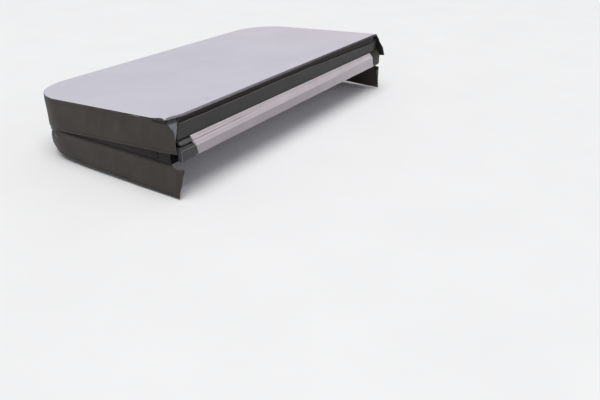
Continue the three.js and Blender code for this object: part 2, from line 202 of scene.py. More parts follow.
def loft(name, sections):
    """A closed body through a stack of closed sections, each with the same number of points."""
    return new_object(name, loft_points(sections), loft_faces(*sections.shape[:2]))


def rounded(corners, count):
    """A closed outline of count points with its corners rounded: corners are (x, z, radius)."""
    corners = [np.array(c, float) for c in corners]
    path = []
    for i, corner in enumerate(corners):
        here, radius = corner[:2], corner[2]
        before = corners[i - 1][:2] - here
        after = corners[(i + 1) % len(corners)][:2] - here
        reach = min(radius, 0.45 * np.linalg.norm(before), 0.45 * np.linalg.norm(after))
        start = here + before / np.linalg.norm(before) * reach
        end = here + after / np.linalg.norm(after) * reach
        for t in np.linspace(0, 1, 7):
            path.append((1 - t) ** 2 * start + 2 * t * (1 - t) * here + t * t * end)
    path = np.array(path + path[:1])
    lengths = np.concatenate([[0], np.cumsum(np.linalg.norm(np.diff(path, axis=0), axis=1))])
    places = np.linspace(0, lengths[-1], count, endpoint=False)
    return np.column_stack([np.interp(places, lengths, path[:, i]) for i in range(2)])


def wall_outline(corners, count):
    """A rounded outline whose x is counted from the hinge wall, in millimetres."""
    return rounded([(WALL_X + x * MM, z * MM, r * MM) for x, z, r in corners], count)


def along_y(section_at, places, low_end, high_end):
    """Sections at shares of the way from low_end(z) to high_end(z). section_at(y) gives x and z."""
    made = []
    for share in places:
        middle = low_end(0) + share * (high_end(0) - low_end(0))
        section = section_at(float(middle))
        low, high = low_end(section[:, 1]), high_end(section[:, 1])
        made.append(np.column_stack([section[:, 0], low + share * (high - low), section[:, 1]]))
    return np.array(made)


def shares(length, step, ends, ends_step):
    """Stations from 0 to 1 along a piece of that length."""
    return stations(0, length, step, ends, ends_step) / length


def ends_at(y, slant=0.0):
    """An end of a piece along y: at y on the underside, and slant nearer -y up at the hinge's top."""
    return lambda z: y - slant * z / HINGE_TOP


def rings(points, radius, sides, up=(0, 0, 1)):
    """Round sections along points, for a tube."""
    points = np.asarray(points, float)
    tangent = np.gradient(points, axis=0)
    tangent /= np.linalg.norm(tangent, axis=1)[:, None]
    side = np.cross(tangent, up)
    side /= np.linalg.norm(side, axis=1)[:, None]
    rise = np.cross(side, tangent)
    turns = np.linspace(0, 2 * math.pi, sides, endpoint=False)
    radius = np.broadcast_to(radius, len(points))
    return np.array(
        [
            p + r * (np.outer(np.cos(turns), s) + np.outer(np.sin(turns), u))
            for p, s, u, r in zip(points, side, rise, radius)
        ]
    )


def stitches(name, lines, pitch=6 * MM, length=4.2 * MM, radius=0.5 * MM):
    """Rows of sewn thread: each line is (points, outward directions), one capsule a stitch."""
    points, faces = [], []
    for line, outward in lines:
        line, outward = np.asarray(line, float), np.asarray(outward, float)
        run = np.concatenate([[0], np.cumsum(np.linalg.norm(np.diff(line, axis=0), axis=1))])
        for place in np.arange(pitch / 2, run[-1] - pitch / 2, pitch):
            spread = place + length * np.array([-0.5, -0.3, 0.3, 0.5])
            axis = np.column_stack([np.interp(spread, run, line[:, i]) for i in range(3)])
            out = np.array([np.interp(place, run, outward[:, i]) for i in range(3)])
            out /= np.linalg.norm(out)
            axis += out * radius * np.array([-0.7, 0.45, 0.45, -0.7])[:, None]
            made = rings(axis, radius * np.array([0.5, 1, 1, 0.5]), 6, up=out)
            faces += loft_faces(4, 6, first=len(points))
            points += loft_points(made).tolist()
    return new_object(name, points, faces)


def to_flap(obj):
    """Moves a piece drawn on the fixed half to its mirrored place on the flap half."""
    obj.data.transform(MIRROR_FLAP)
    obj.data.flip_normals()
    return obj


def on_fixed(obj):
    return obj


HALVES = (("fixed", on_fixed), ("flap", to_flap))


def wear(obj, material):
    obj.data.materials.clear()
    obj.data.materials.append(material)


def finish_piece(obj, body, material, slot, *nodes):
    """Gives a piece its skin and the body it rides on, and hides the nodes that it replaces. The slot is not
    used.
    """
    wear(obj, material)
    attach(obj, body)
    if nodes:
        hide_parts(*nodes)
    return obj


# ---- Materials --------------------------------------------------------------------------------
class Nodes:
    """A short way to write a material's node tree."""

    def __init__(self, name):
        self.material = bpy.data.materials.new(name)
        self.material.use_nodes = True
        self.tree = self.material.node_tree
        self.shader = self.tree.nodes["Principled BSDF"]
        self.place = self.tree.nodes.new("ShaderNodeTexCoord").outputs["Object"]

    def add(self, kind, **settings):
        node = self.tree.nodes.new("ShaderNode" + kind)
        for name, value in settings.items():
            setattr(node, name, value)
        return node

    def link(self, source, target):
        self.tree.links.new(source, target)

    def noise(self, scale, detail=3, roughness=0.5, stretch=(1, 1, 1)):
        node = self.add("TexNoise")
        node.inputs["Scale"].default_value = scale
        node.inputs["Detail"].default_value = detail
        node.inputs["Roughness"].default_value = roughness
        place = self.add("Mapping")
        place.inputs["Scale"].default_value = stretch
        self.link(self.place, place.inputs["Vector"])
        self.link(place.outputs["Vector"], node.inputs["Vector"])
        return node.outputs["Fac"]

    def cells(self, scale, feature="F1"):
        node = self.add("TexVoronoi", feature=feature)
        node.inputs["Scale"].default_value = scale
        self.link(self.place, node.inputs["Vector"])
        return node.outputs["Distance"]

    def bands(self, scale, direction="X"):
        node = self.add("TexWave", bands_direction=direction)
        node.inputs["Scale"].default_value = scale
        self.link(self.place, node.inputs["Vector"])
        return node.outputs["Fac"]

    def grade(self, source, low, high, top=1.0, shape="LINEAR"):
        """0 where the source is at low, and top where it is at high."""
        node = self.add("MapRange", interpolation_type=shape)
        node.inputs["From Min"].default_value = low
        node.inputs["From Max"].default_value = high
        node.inputs["To Max"].default_value = top
        self.link(source, node.inputs["Value"])
        return node.outputs["Result"]

    def axis(self, letter):
        """How far each spot is along that axis, in metres."""
        node = self.add("SeparateXYZ")
        self.link(self.place, node.inputs["Vector"])
        return node.outputs[letter]

    def rubbed_and_highlit_edges(self):
        """1 on sharp outward edges, where a skin rubs pale and where the pale edge also stands as a painted
        highlight, and 0 elsewhere.
        """
        return self.grade(self.add("NewGeometry").outputs["Pointiness"], 0.52, 0.62)

    def ramp(self, source, low, high, dark, light):
        node = self.add("ValToRGB")
        node.color_ramp.elements[0].position = low
        node.color_ramp.elements[1].position = high
        node.color_ramp.elements[0].color = (*dark, 1)
        node.color_ramp.elements[1].color = (*light, 1)
        self.link(source, node.inputs["Fac"])
        return node.outputs["Color"]

    def mixed(self, factor, first, second):
        node = self.add("Mix", data_type="RGBA")
        self.link(factor, node.inputs[0])
        for value, socket in ((first, node.inputs[6]), (second, node.inputs[7])):
            if isinstance(value, tuple):
                socket.default_value = (*value, 1)
            else:
                self.link(value, socket)
        return node.outputs[2]

    def spread(self, source, low, high):
        node = self.add("MapRange")
        node.inputs["To Min"].default_value = low
        node.inputs["To Max"].default_value = high
        self.link(source, node.inputs["Value"])
        return node.outputs["Result"]

    def bumps(self, *layers):
        """layers are (height, strength, distance in metres)."""
        normal = None
        for height, strength, distance in layers:
            node = self.add("Bump")
            node.inputs["Strength"].default_value = strength
            node.inputs["Distance"].default_value = distance
            self.link(height, node.inputs["Height"])
            if normal is not None:
                self.link(normal, node.inputs["Normal"])
            normal = node.outputs["Normal"]
        if normal is not None:
            self.link(normal, self.shader.inputs["Normal"])

    def colour(self, source):
        self.link(source, self.shader.inputs["Base Color"])

    def roughness(self, source):
        self.link(source, self.shader.inputs["Roughness"])

    def gloss(self, level):
        self.shader.inputs["Specular IOR Level"].default_value = level


def leather_grain(n):
    n.bumps(
        (n.noise(11, 3), 0.3, 0.004),
        (n.noise(240, 3), 0.25, 0.0005),
        (n.cells(800, "SMOOTH_F1"), 0.35, 0.0004),
    )


def vinyl(name, dark, light, edge_wear_and_highlight, rough=(0.44, 0.6), gloss=0.25):
    """Embossed marine vinyl: a leather grain over soft unevenness, a little chalky, and pale on sharp edges
    as rubbed wear and painted highlight.
    """
    n = Nodes(name)
    body = n.ramp(n.noise(7, 4), 0.3, 0.7, dark, light)
    chalk = n.spread(n.noise(3.2, 5, 0.6, (1, 1, 2.5)), -0.35, 0.75)
    body = n.mixed(chalk, body, light)
    # Sharp edges turn pale: rubbed wear and painted highlight
    n.colour(n.mixed(n.rubbed_and_highlit_edges(), body, edge_wear_and_highlight))
    n.roughness(n.spread(n.noise(26, 3), *rough))
    leather_grain(n)
    n.gloss(gloss)
    return n.material


# Height of the bend between the heat-seal pad's flank and its face, at its near end, middle and far end
PAD_BEND = (61.5 * MM, 67 * MM, 83 * MM)


def pad_skin():
    """Pale heat-seal vinyl: a lighter flank above the bend and a darker face below it, painted light and
    painted shade for light from above, the face paler at the far end.
    """
    n = Nodes("pad_vinyl_skin")
    along, height = n.axis("Y"), n.axis("Z")
    bend, middle_bend, far_bend = PAD_BEND
    for low, high, rise in ((-SIDE_Y, 0.0, middle_bend - bend), (0.0, SIDE_Y, far_bend - middle_bend)):
        below = n.add("Math", operation="SUBTRACT")
        n.link(height, below.inputs[0])
        n.link(n.grade(along, low, high, rise, "SMOOTHSTEP"), below.inputs[1])
        height = below.outputs["Value"]
    # Painted light on the flank above the bend, painted shade on the face below it
    lit_flank_share = n.grade(height, bend - 3 * MM, bend + 1 * MM, shape="SMOOTHSTEP")
    shaded_near_face = n.ramp(n.noise(7, 4), 0.3, 0.7, (0.385, 0.345, 0.375), (0.43, 0.39, 0.42))
    shaded_far_face = n.ramp(n.noise(7, 4), 0.3, 0.7, (0.52, 0.465, 0.505), (0.575, 0.515, 0.555))
    face = n.mixed(n.grade(along, -0.2, 0.85, shape="SMOOTHSTEP"), shaded_near_face, shaded_far_face)
    flank = n.ramp(n.noise(9, 4), 0.3, 0.7, (0.565, 0.50, 0.54), (0.62, 0.56, 0.595))
    body = n.mixed(lit_flank_share, face, flank)
    # Pale sharp edges: rubbed wear and painted highlight
    n.colour(n.mixed(n.rubbed_and_highlit_edges(), body, (0.70, 0.66, 0.69)))
    n.roughness(n.spread(n.noise(26, 3), 0.4, 0.55))
    leather_grain(n)
    n.gloss(0.35)
    return n.material


def gusset_skin():
    """Pale vinyl on the pleat, with painted shade in dark streaks where its folds are sewn in at the liner's
    corner.
    """
    n = Nodes("gusset_vinyl_skin")
    pale = n.ramp(n.noise(30, 4), 0.3, 0.7, (0.20, 0.205, 0.225), (0.30, 0.305, 0.33))
    # Painted shade: dark streaks in the pleats near the liner's corner
    dark = n.ramp(n.noise(90, 3, 0.5, (1, 1, 5)), 0.35, 0.65, (0.035, 0.035, 0.045), (0.13, 0.13, 0.155))
    high = n.grade(n.axis("Z"), 2 * HINGE_TOP - 26 * MM, 2 * HINGE_TOP - 18 * MM)
    n.colour(n.mixed(high, pale, dark))
    n.roughness(n.spread(n.noise(26, 3), 0.4, 0.6))
    n.bumps((n.noise(40, 3), 0.3, 0.002), (n.cells(800, "SMOOTH_F1"), 0.35, 0.0004))
    n.gloss(0.25)
    return n.material


def liner_fabric():
    """Coated woven underside sheet: a tight weave under a satin coat, warmer at its far end."""
    n = Nodes("liner_fabric")
    cool = n.ramp(n.noise(3.5, 4), 0.3, 0.7, (0.60, 0.59, 0.665), (0.64, 0.63, 0.70))
    warm = n.ramp(n.noise(3.5, 4), 0.3, 0.7, (0.625, 0.585, 0.655), (0.66, 0.62, 0.69))
    n.colour(n.mixed(n.grade(n.axis("Y"), 0.1, SIDE_Y), cool, warm))
    n.roughness(n.spread(n.noise(40, 3), 0.45, 0.6))
    n.bumps(
        (n.noise(5, 3), 0.25, 0.008),
        (n.noise(30, 3), 0.12, 0.0015),
        (n.bands(420, "X"), 0.12, 0.0003),
        (n.bands(420, "Y"), 0.12, 0.0003),
    )
    n.gloss(0.35)
    return n.material


def skin(name, tones, rough, *bumps, metallic=0.0, sheen=0.0, gloss=0.5):
    """A plain skin. tones is (pattern, low, high, dark, light), rough is (pattern, low, high) and each bump
    is (pattern, strength, distance). A pattern is the name of a method of Nodes and what it is given."""
    n = Nodes(name)

    def drawn(pattern):
        return getattr(n, pattern[0])(*pattern[1:])

    n.colour(n.ramp(drawn(tones[0]), *tones[1:]))
    n.roughness(n.spread(drawn(rough[0]), *rough[1:]))
    n.bumps(*((drawn(pattern), strength, distance) for pattern, strength, distance in bumps))
    n.shader.inputs["Metallic"].default_value = metallic
    n.shader.inputs["Sheen Weight"].default_value = sheen
    n.gloss(gloss)
    return n.material


def woven(name, dark, light, pitch):
    return skin(
        name,
        (("noise", 60, 3), 0.3, 0.7, dark, light),
        (("noise", 300, 2), 0.75, 0.95),
        (("bands", pitch, "Y"), 0.6, 0.0006),
        (("bands", pitch, "Z"), 0.5, 0.0006),
        (("noise", 2500, 2), 0.3, 0.0002),
        sheen=0.25,
    )


def hem_weave():
    """Binding tape, pale at the near end and darker along the rest."""
    n = Nodes("hem_tape_weave")
    pale = n.ramp(n.noise(60, 3), 0.3, 0.7, (0.17, 0.165, 0.19), (0.21, 0.205, 0.235))
    n.colour(n.mixed(n.grade(n.axis("Y"), -0.7, 0.4), pale, (0.06, 0.055, 0.062)))
    n.roughness(n.spread(n.noise(300, 2), 0.6, 0.8))
    n.bumps((n.bands(500, "Y"), 0.5, 0.0005), (n.noise(2500, 2), 0.3, 0.0002))
    return n.material


DARK_VINYL = vinyl("dark_vinyl_skin", (0.040, 0.0335, 0.0285), (0.055, 0.046, 0.040), (0.15, 0.14, 0.135))
# A darker copy of the dark vinyl for the side walls, hinge patches and zip cover tape: painted shade
SHADED_WALL_VINYL = vinyl(
    "side_wall_painted_shade", (0.016, 0.013, 0.0125), (0.023, 0.019, 0.018), (0.05, 0.045, 0.043), gloss=0.15
)
FLY_VINYL = vinyl("fly_vinyl_skin", (0.040, 0.0395, 0.0385), (0.050, 0.049, 0.048), (0.14, 0.14, 0.14))
# Lighter copies of the caps' one dark vinyl for the near cap's upper and lower lobes: painted light
LIT_CAP_VINYL = vinyl("cap_vinyl_painted_light", (0.088, 0.088, 0.090), (0.112, 0.112, 0.115), (0.26, 0.26, 0.265))
LIT_LOBE_VINYL = vinyl("lobe_vinyl_painted_light", (0.054, 0.054, 0.055), (0.072, 0.072, 0.074), (0.2, 0.2, 0.205))
PAD_VINYL = pad_skin()
GUSSET_VINYL = gusset_skin()
# Near-black vinyl for the seam cord, the back of the flap cuff's far end and the far pleat: painted shade
SHADE_BLACK_VINYL = vinyl("inner_face_painted_shade", (0.012, 0.012, 0.013), (0.018, 0.018, 0.019), (0.03, 0.03, 0.03))
HEM_TAPE = hem_weave()
# Pale vinyl for the fly's ridge bead: painted highlight along the ridge
HIGHLIT_BEAD_VINYL = vinyl("bead_painted_highlight", (0.12, 0.12, 0.118), (0.15, 0.15, 0.148), (0.2, 0.2, 0.2))
# Pale vinyl for the welt round the lower lobe: painted highlight along its bend and end
HIGHLIT_WELT_VINYL = vinyl("welt_painted_highlight", (0.15, 0.15, 0.15), (0.20, 0.20, 0.20), (0.25, 0.25, 0.25))
# Near black: painted shade on the hinge wall, so that the gap between the halves reads dark; the bar tacks
# wear it too
GAP_VINYL = vinyl(
    "gap_vinyl_skin",
    (0.0025, 0.0025, 0.0027),
    (0.004, 0.004, 0.0042),
    (0.006, 0.006, 0.006),
    rough=(0.7, 0.8),
    gloss=0.04,
)
# A darker copy of the caps' vinyl for the far cap: painted shade
SHADED_FAR_CAP_VINYL = vinyl("far_cap_vinyl_painted_shade", (0.031, 0.027, 0.024), (0.043, 0.037, 0.033), (0.12, 0.115, 0.11))
LINER = liner_fabric()
WEBBING = woven("webbing_weave", (0.022, 0.02, 0.019), (0.04, 0.037, 0.034), 330)
ZIP_WEAVE = woven("zip_tape_weave", (0.014, 0.014, 0.016), (0.026, 0.026, 0.03), 600)
THREAD = skin(
    "dark_thread",
    (("noise", 400, 2), 0.3, 0.7, (0.030, 0.028, 0.027), (0.042, 0.040, 0.038)),
    (("noise", 300, 2), 0.6, 0.8),
    (("bands", 1500, "DIAGONAL"), 0.5, 0.0002),
)
STEEL = skin(
    "galvanised_sheet",
    (("cells", 70), 0.1, 0.7, (0.42, 0.44, 0.46), (0.6, 0.62, 0.64)),
    (("cells", 70), 0.3, 0.5),
    (("noise", 200, 3), 0.2, 0.0003),
    metallic=1.0,
)
SLIDER_METAL = skin(
    "slider_metal",
    (("noise", 80, 4), 0.35, 0.65, (0.33, 0.33, 0.34), (0.46, 0.46, 0.47)),
    (("noise", 150, 3), 0.25, 0.4),
    (("noise", 700, 2), 0.15, 0.0002),
    metallic=1.0,
)
EYELET = skin(
    "eyelet_nylon",
    (("noise", 50, 3), 0.35, 0.65, (0.56, 0.55, 0.61), (0.60, 0.59, 0.65)),
    (("noise", 120, 3), 0.35, 0.5),
    (("noise", 500, 2), 0.15, 0.0002),
)
FOAM = skin(
    "foam_beads",
    (("cells", 260), 0.0, 0.6, (0.9, 0.9, 0.87), (0.78, 0.78, 0.75)),
    (("noise", 90), 0.8, 0.95),
    (("cells", 260), 0.7, 0.001),
)
FILM = skin(
    "vapour_film_sheet",
    (("noise", 7, 3), 0.3, 0.7, (0.62, 0.65, 0.67), (0.78, 0.8, 0.82)),
    (("noise", 30), 0.15, 0.35),
    (("noise", 18, 4), 0.6, 0.003),
)
FLOOR = skin(
    "floor",
    (("noise", 2, 2), 0.3, 0.7, (0.90, 0.90, 0.905), (0.92, 0.92, 0.925)),
    (("noise", 30), 0.6, 0.7),
    gloss=0.1,
)


# ---- The round of a half: near side, corner, outer side, corner, far side ----------------------
def round_path(end_x, step=0.014, corner_step=0.009):
    """Points and outward normals round three sides of a half, from the near hinge end to the far."""
    near = np.linspace(end_x, CENTRE_X, max(2, int((end_x - CENTRE_X) / step)))
    turn = np.linspace(0, math.pi / 2, int(CORNER * math.pi / 2 / corner_step))
    outer = np.linspace(-CENTRE_Y, CENTRE_Y, int(2 * CENTRE_Y / step))[1:-1]
    rows = [(x, -SIDE_Y, 0, -1) for x in near[:-1]]
    for a in turn:
        nx, ny = -math.sin(a), -math.cos(a)
        rows.append((CENTRE_X + CORNER * nx, -CENTRE_Y + CORNER * ny, nx, ny))
    rows += [(OUTER_X, y, -1, 0) for y in outer]
    for a in turn:
        nx, ny = -math.cos(a), math.sin(a)
        rows.append((CENTRE_X + CORNER * nx, CENTRE_Y + CORNER * ny, nx, ny))
    rows += [(x, SIDE_Y, 0, 1) for x in near[::-1][1:]]
    path = np.array(rows)
    run = np.concatenate([[0], np.cumsum(np.linalg.norm(np.diff(path[:, :2], axis=0), axis=1))])
    return path, run


def band(path, out, z):
    """A grid round a half, out from the path and at height z: both are rows x columns."""
    x = path[:, 0, None] + path[:, 2, None] * out
    y = path[:, 1, None] + path[:, 3, None] * out
    return spots(x, y, z)


def corner_runs(end_x, total):
    """How far along the round the middles of the near and the far outer corner are."""
    near = end_x - CENTRE_X + CORNER * math.pi / 4
    return near, total - near


def half_width(x):
    """How far the outline reaches along y at each x."""
    over = np.clip(CENTRE_X - np.asarray(x, float), 0, CORNER)
    return CENTRE_Y + np.sqrt(CORNER**2 - over**2)


def edge_distance(x, y):
    """How far in from the outline each point is."""
    to_side = SIDE_Y - np.abs(y)
    to_outer = x - OUTER_X
    dx, dy = CENTRE_X - x, np.abs(y) - CENTRE_Y
    in_corner = (dx > 0) & (dy > 0)
    distance = np.where(in_corner, CORNER - np.hypot(dx, dy), np.minimum(to_side, to_outer))
    return np.maximum(np.minimum(distance, WALL_X - x), 0)


def plan_grid(step):
    """x and y of a grid that fills a half's outline, closer together at its edges."""
    xs = stations(OUTER_X, WALL_X, step, ends=0.024, ends_step=0.0024)
    # Round outer corners need close columns where the outline turns in
    xs = np.unique(np.concatenate([xs, OUTER_X + CORNER * np.linspace(0, 1, 22) ** 2]))
    share = stations(-1, 1, step / SIDE_Y, ends=0.024 / SIDE_Y, ends_step=0.0024 / SIDE_Y)
    x = np.repeat(xs[:, None], len(share), axis=1)
    return x, share[None, :] * half_width(xs)[:, None]


def rolled(distance, radius):
    """How far a sheet has turned down at a distance from an edge of that radius."""
    inside = np.clip(1 - distance / radius, 0, 1)
    return radius * (1 - np.sqrt(1 - inside**2))


HALF_CUT = (WALL_X - OUTER_X, 2 * SIDE_Y)


# ---- Underside liners -------------------------------------------------------------------------
def corner_lift(x, y):
    """The near hinge corner of the flap half curls up off its foam."""
    return 8 * MM * smooth(0.12, 0.0, np.hypot(WALL_X - x, y + SIDE_Y))


def hinge_ripples(x, y):
    """Fine pulls that fan out from the sewn hinge edge: -1 to 1, dying away inwards."""
    inward = WALL_X - x
    lean = 0.62 - 1.25 * smooth(0.25, 1.0, y)
    root = y + lean * inward
    wander = 0.018 * waves(spots(root, inward * 0.5), 0.25, 3)
    comb = np.sin(2 * math.pi * (root + wander) / 0.052) + 0.5 * waves(spots(root, inward * 0.1), 0.035, 4)
    reach = 0.24 + 0.08 * waves(spots(root, 0 * root), 0.3, 5)
    strength = 0.65 + 0.35 * waves(spots(root, inward * 0.3), 0.22, 6)
    return comb * strength * smooth(1.0, 0.0, inward / reach)


def fixed_liner():
    x, y = plan_grid(0.03)
    distance = edge_distance(x, y)
    inset = 11 * MM
    x = MIDDLE_X + (x - MIDDLE_X) * (1 - 2 * inset / HALF_CUT[0])
    y = y * (1 - inset / SIDE_Y)
    lift = 0.8 * MM * smooth(0.0, 0.06, distance) * (0.5 + 0.5 * waves(spots(x, y * 0.5), 0.42, 11))
    z = 0.4 * MM + rolled(distance, 4 * MM) + lift
    return sheet("fixed_liner", spots(x, y, z)[:, ::-1], 1.2 * MM)


def flap_liner():
    x, y = plan_grid(0.0115)
    distance = edge_distance(x, y)
    middle = smooth(0.0, 0.05, distance)
    sag = 1.3 * MM * middle * (0.5 + 0.5 * waves(spots(x, y * 0.5), 0.42, 23))
    sag += 0.25 * MM * middle * waves(spots(x, y), 0.11, 24)
    ripples = 1.5 * MM * hinge_ripples(x, y) * smooth(0.0, 0.012, distance)
    # Shallow gathers along the two side edges
    gather = 0.5 * MM * waves(spots(x, y * 0.2), 0.06, 25) * bump(0.02, 0.05, SIDE_Y - np.abs(y))
    z = rolled(distance, 7 * MM) + sag + ripples + gather * smooth(0.0, 0.01, distance)
    z -= corner_lift(x, y)
    return to_flap(sheet("flap_liner", spots(x, y, z)[:, ::-1], 1.2 * MM))


def hinge_hem():
    """The bound edge of the flap's liner: rounded tape from the sheet down over the zip fly."""
    outline = wall_outline(
        [
            (-5, -1.2, 0.3), (6, -2.6, 6), (13.4, 0.5, 4), (13.4, 5.6, 0.8),
            (1, 5.6, 0.5), (1, 0.9, 0.4), (-5, 0.2, 0.3),
        ],
        36,
    )
    roll = outline[:, 0] > WALL_X + 3 * MM

    def section_at(y):
        section = outline.copy()
        pucker = 0.7 * MM * float(waves(np.array([y, 0.0]), 0.05, 27))
        section[:, 0] += np.where(roll, 0.6 * pucker, 0)
        section[:, 1] += np.where(roll, pucker * 0.5, 0)
        section[:, 1] -= float(corner_lift(WALL_X, y)) * np.where(section[:, 1] < 6 * MM, 1, 0.35)
        return section

    places = shares(2 * SIDE_Y, 0.009, 0.01, 0.002)
    near, far = ends_at(-SIDE_Y + 1 * MM), ends_at(SIDE_Y - 34 * MM)
    return to_flap(loft("hinge_hem_tape", along_y(section_at, places, near, far)))


def make_liners():
    for half, liner in (("fixed", fixed_liner()), ("flap", flap_liner())):
        finish_piece(liner, half + "_half", LINER, "underside_liner", half + "_underside_liner")
    finish_piece(hinge_hem(), "flap_half", HEM_TAPE, "underside_liner")


# ---- Top panels, side bands and welts ---------------------------------------------------------
def top_panel(name, seed):
    x, y = plan_grid(0.02)
    distance = edge_distance(x, y)
    sag = 0.5 * MM * (0.5 + 0.5 * waves(spots(x, y), 0.3, seed)) * smooth(0.0, 0.08, distance)
    pucker = 0.6 * MM * (0.5 + 0.5 * waves(spots(x, y), 0.05, seed + 1)) * bump(0.012, 0.05, distance)
    z = top_z(x) - rolled(distance, 6 * MM) - sag - pucker
    return sheet(name, spots(x, y, z), 1.4 * MM)


def side_band(name, seed):
    """The vinyl wall round three sides, drawn in a little at its seams."""
    path, run = round_path(WALL_X)
    t = np.unique(np.concatenate([np.linspace(0, 0.1, 4), np.linspace(0.1, 1, 12)]))[None, :]
    z = 0.8 * MM + t * (top_z(path[:, 0, None]) - 6.8 * MM)
    place = spots(run[:, None], t * 0.1)
    out = -0.9 * MM + 0.9 * MM * np.sin(math.pi * t) + 0.3 * MM * waves(place, 0.16, seed)
    out = out - 0.3 * MM * smooth(0.07, 0.0, t)
    return sheet(name, band(path, out, z), 1.4 * MM, levels=1), run[-1]


def cord_round(name, inset, z_at, radius, sides):
    """A cord sewn in a seam round three sides, with its middle inset from the wall."""
    path, _ = round_path(WALL_X - 2 * MM)
    points = spots(path[:, 0] - path[:, 2] * inset, path[:, 1] - path[:, 3] * inset, z_at(path[:, 0]))
    return loft(name, rings(points, radius, sides))


def welt(name):
    return cord_round(name, 0.9 * MM, lambda x: top_z(x) - 4.2 * MM, 2.3 * MM, 10)


def gap_shade_cord():
    """The near-black cord in the groove where the fixed half's cuff hangs from its wall: painted shade for
    the dark gap line.
    """
    return cord_round("fixed_seam_shade_cord", 1.6 * MM, lambda x: -0.2 * MM + 0 * x, 2.0 * MM, 8)


def make_jackets():
    for (half, move), seed in zip(HALVES, (31, 47)):
        body = half + "_half"
        top = move(top_panel(half + "_top", seed))
        finish_piece(top, body, DARK_VINYL, "dark_vinyl", half + "_top_panel")
        wall, length = side_band(half + "_wall", seed + 5)
        # The wall wears the darker copy of the dark vinyl: painted shade
        finish_piece(move(wall), body, SHADED_WALL_VINYL, "dark_vinyl", half + "_side_wall")
        edge = move(welt(half + "_welt"))
        finish_piece(edge, body, DARK_VINYL, "dark_vinyl", half + "_top_piping")
    # Near-black seam cord: painted shade in the groove
    finish_piece(gap_shade_cord(), "fixed_half", SHADE_BLACK_VINYL, "dark_vinyl")


# ---- Hinge patches ----------------------------------------------------------------------------
# The bar tacks run down a patch's edge, below the other half's cuff
TACKS_Z = (63 * MM, 4 * MM)


def hinge_patch(half, side):
    """A second layer of vinyl sewn on a side wall beside the fold, with its stitch line and its edge."""
    low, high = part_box("fixed_hinge_patch_" + side)
    sign = 1 if low.y > 0 else -1
    x = np.linspace(low.x, high.x, 40)[:, None]
    z = np.linspace(low.z, high.z, 40)[None, :]
    near_fold = smooth(low.x, high.x, x)
    creases = 1.4 * MM * np.sin(2 * math.pi * (z + 0.03 * (x - low.x)) / (15 * MM))
    creases = creases * bump(high.x - 30 * MM, 0.055, x)
    rim = np.minimum(np.minimum(x - low.x, high.x - x), np.minimum(z - low.z, high.z - z))
    out = 1.6 * MM + 0.6 * MM * near_fold + 0.5 * creases * smooth(0.0, 0.012, rim)
    out = out - 1.0 * MM * bump(5 * MM, 1.6 * MM, rim)
    grid = spots(x, sign * (SIDE_Y + out), z)
    piece = sheet(half + "_patch_" + side, grid if sign < 0 else grid[::-1], 1.1 * MM)
    inset = 5 * MM
    frame_line = [
        (low.x + inset, sign * (SIDE_Y + 1.2 * MM), high.z - inset),
        (low.x + inset, sign * (SIDE_Y + 1.2 * MM), low.z + inset),
        (high.x - inset, sign * (SIDE_Y + 1.4 * MM), low.z + inset),
    ]
    edge = [(low.x + 1 * MM, sign * (SIDE_Y + 1.4 * MM), z) for z in TACKS_Z]
    return piece, (frame_line, [(0, sign, 0)] * 3), (edge, [(0, sign, 0)] * 2)


def make_patches():
    for half, move in HALVES:
        lines, edges = [], []
        for side in ("near", "far"):
            patch, line, edge = hinge_patch(half, side)
            # The patches wear the darker copy of the dark vinyl: painted shade
            finish_piece(move(patch), half + "_half", SHADED_WALL_VINYL, "dark_vinyl", half + "_hinge_patch_" + side)
            lines.append(line)
            edges.append(edge)
        sewing = move(stitches(half + "_patch_stitches", lines))
        finish_piece(sewing, half + "_half", THREAD, "webbing")
        if half == "fixed":
            tacks = stitches("fixed_patch_tacks", edges, pitch=19 * MM, length=13 * MM, radius=2.6 * MM)
            finish_piece(tacks, "fixed_half", GAP_VINYL, "webbing")


# ---- Skirts -----------------------------------------------------------------------------------
SKIRT_VINYL = 1.8 * MM
HEM_AT = 0.92
# Height in millimetres, centre and half width of each fold in the flap's cuff
FLAP_FOLDS = (
    (4.5, 0.015, 0.05), (5.0, 0.13, 0.04), (5.5, 0.25, 0.042), (5.5, 0.40, 0.06), (-3.0, 0.33, 0.045),
)


def skirt_rows():
    """Shares of the way from the sewn edge to the free edge, closer together at the hem."""
    rows = [[0, 0.012, 0.03], np.linspace(0.06, 0.88, 20), np.linspace(0.88, 1, 12)]
    return np.unique(np.concatenate(rows))[None, :]


def hem_step(t):
    """The doubled hem at the free edge: a fold of vinyl with a sewn line along its top."""
    return 1.0 * MM * smooth(HEM_AT, HEM_AT + 0.018, t) - 1.2 * MM * bump(HEM_AT, 0.014, t)


def flap_cuff_end(z, far):
    """Where the cuff of the flap half ends past the fold at each depth: cut back at the liner."""
    if far:
        knots = ((0, 2), (0.042, 18), (0.105, 40), (0.155, 45))
        return eased(z, *((depth, WALL_X + past * MM) for depth, past in knots))
    return WALL_X + np.interp(z, [0.001, 0.046, 0.153], [-13 * MM, 45 * MM, 41 * MM])


FLAP_CUFF_PAST = 42 * MM


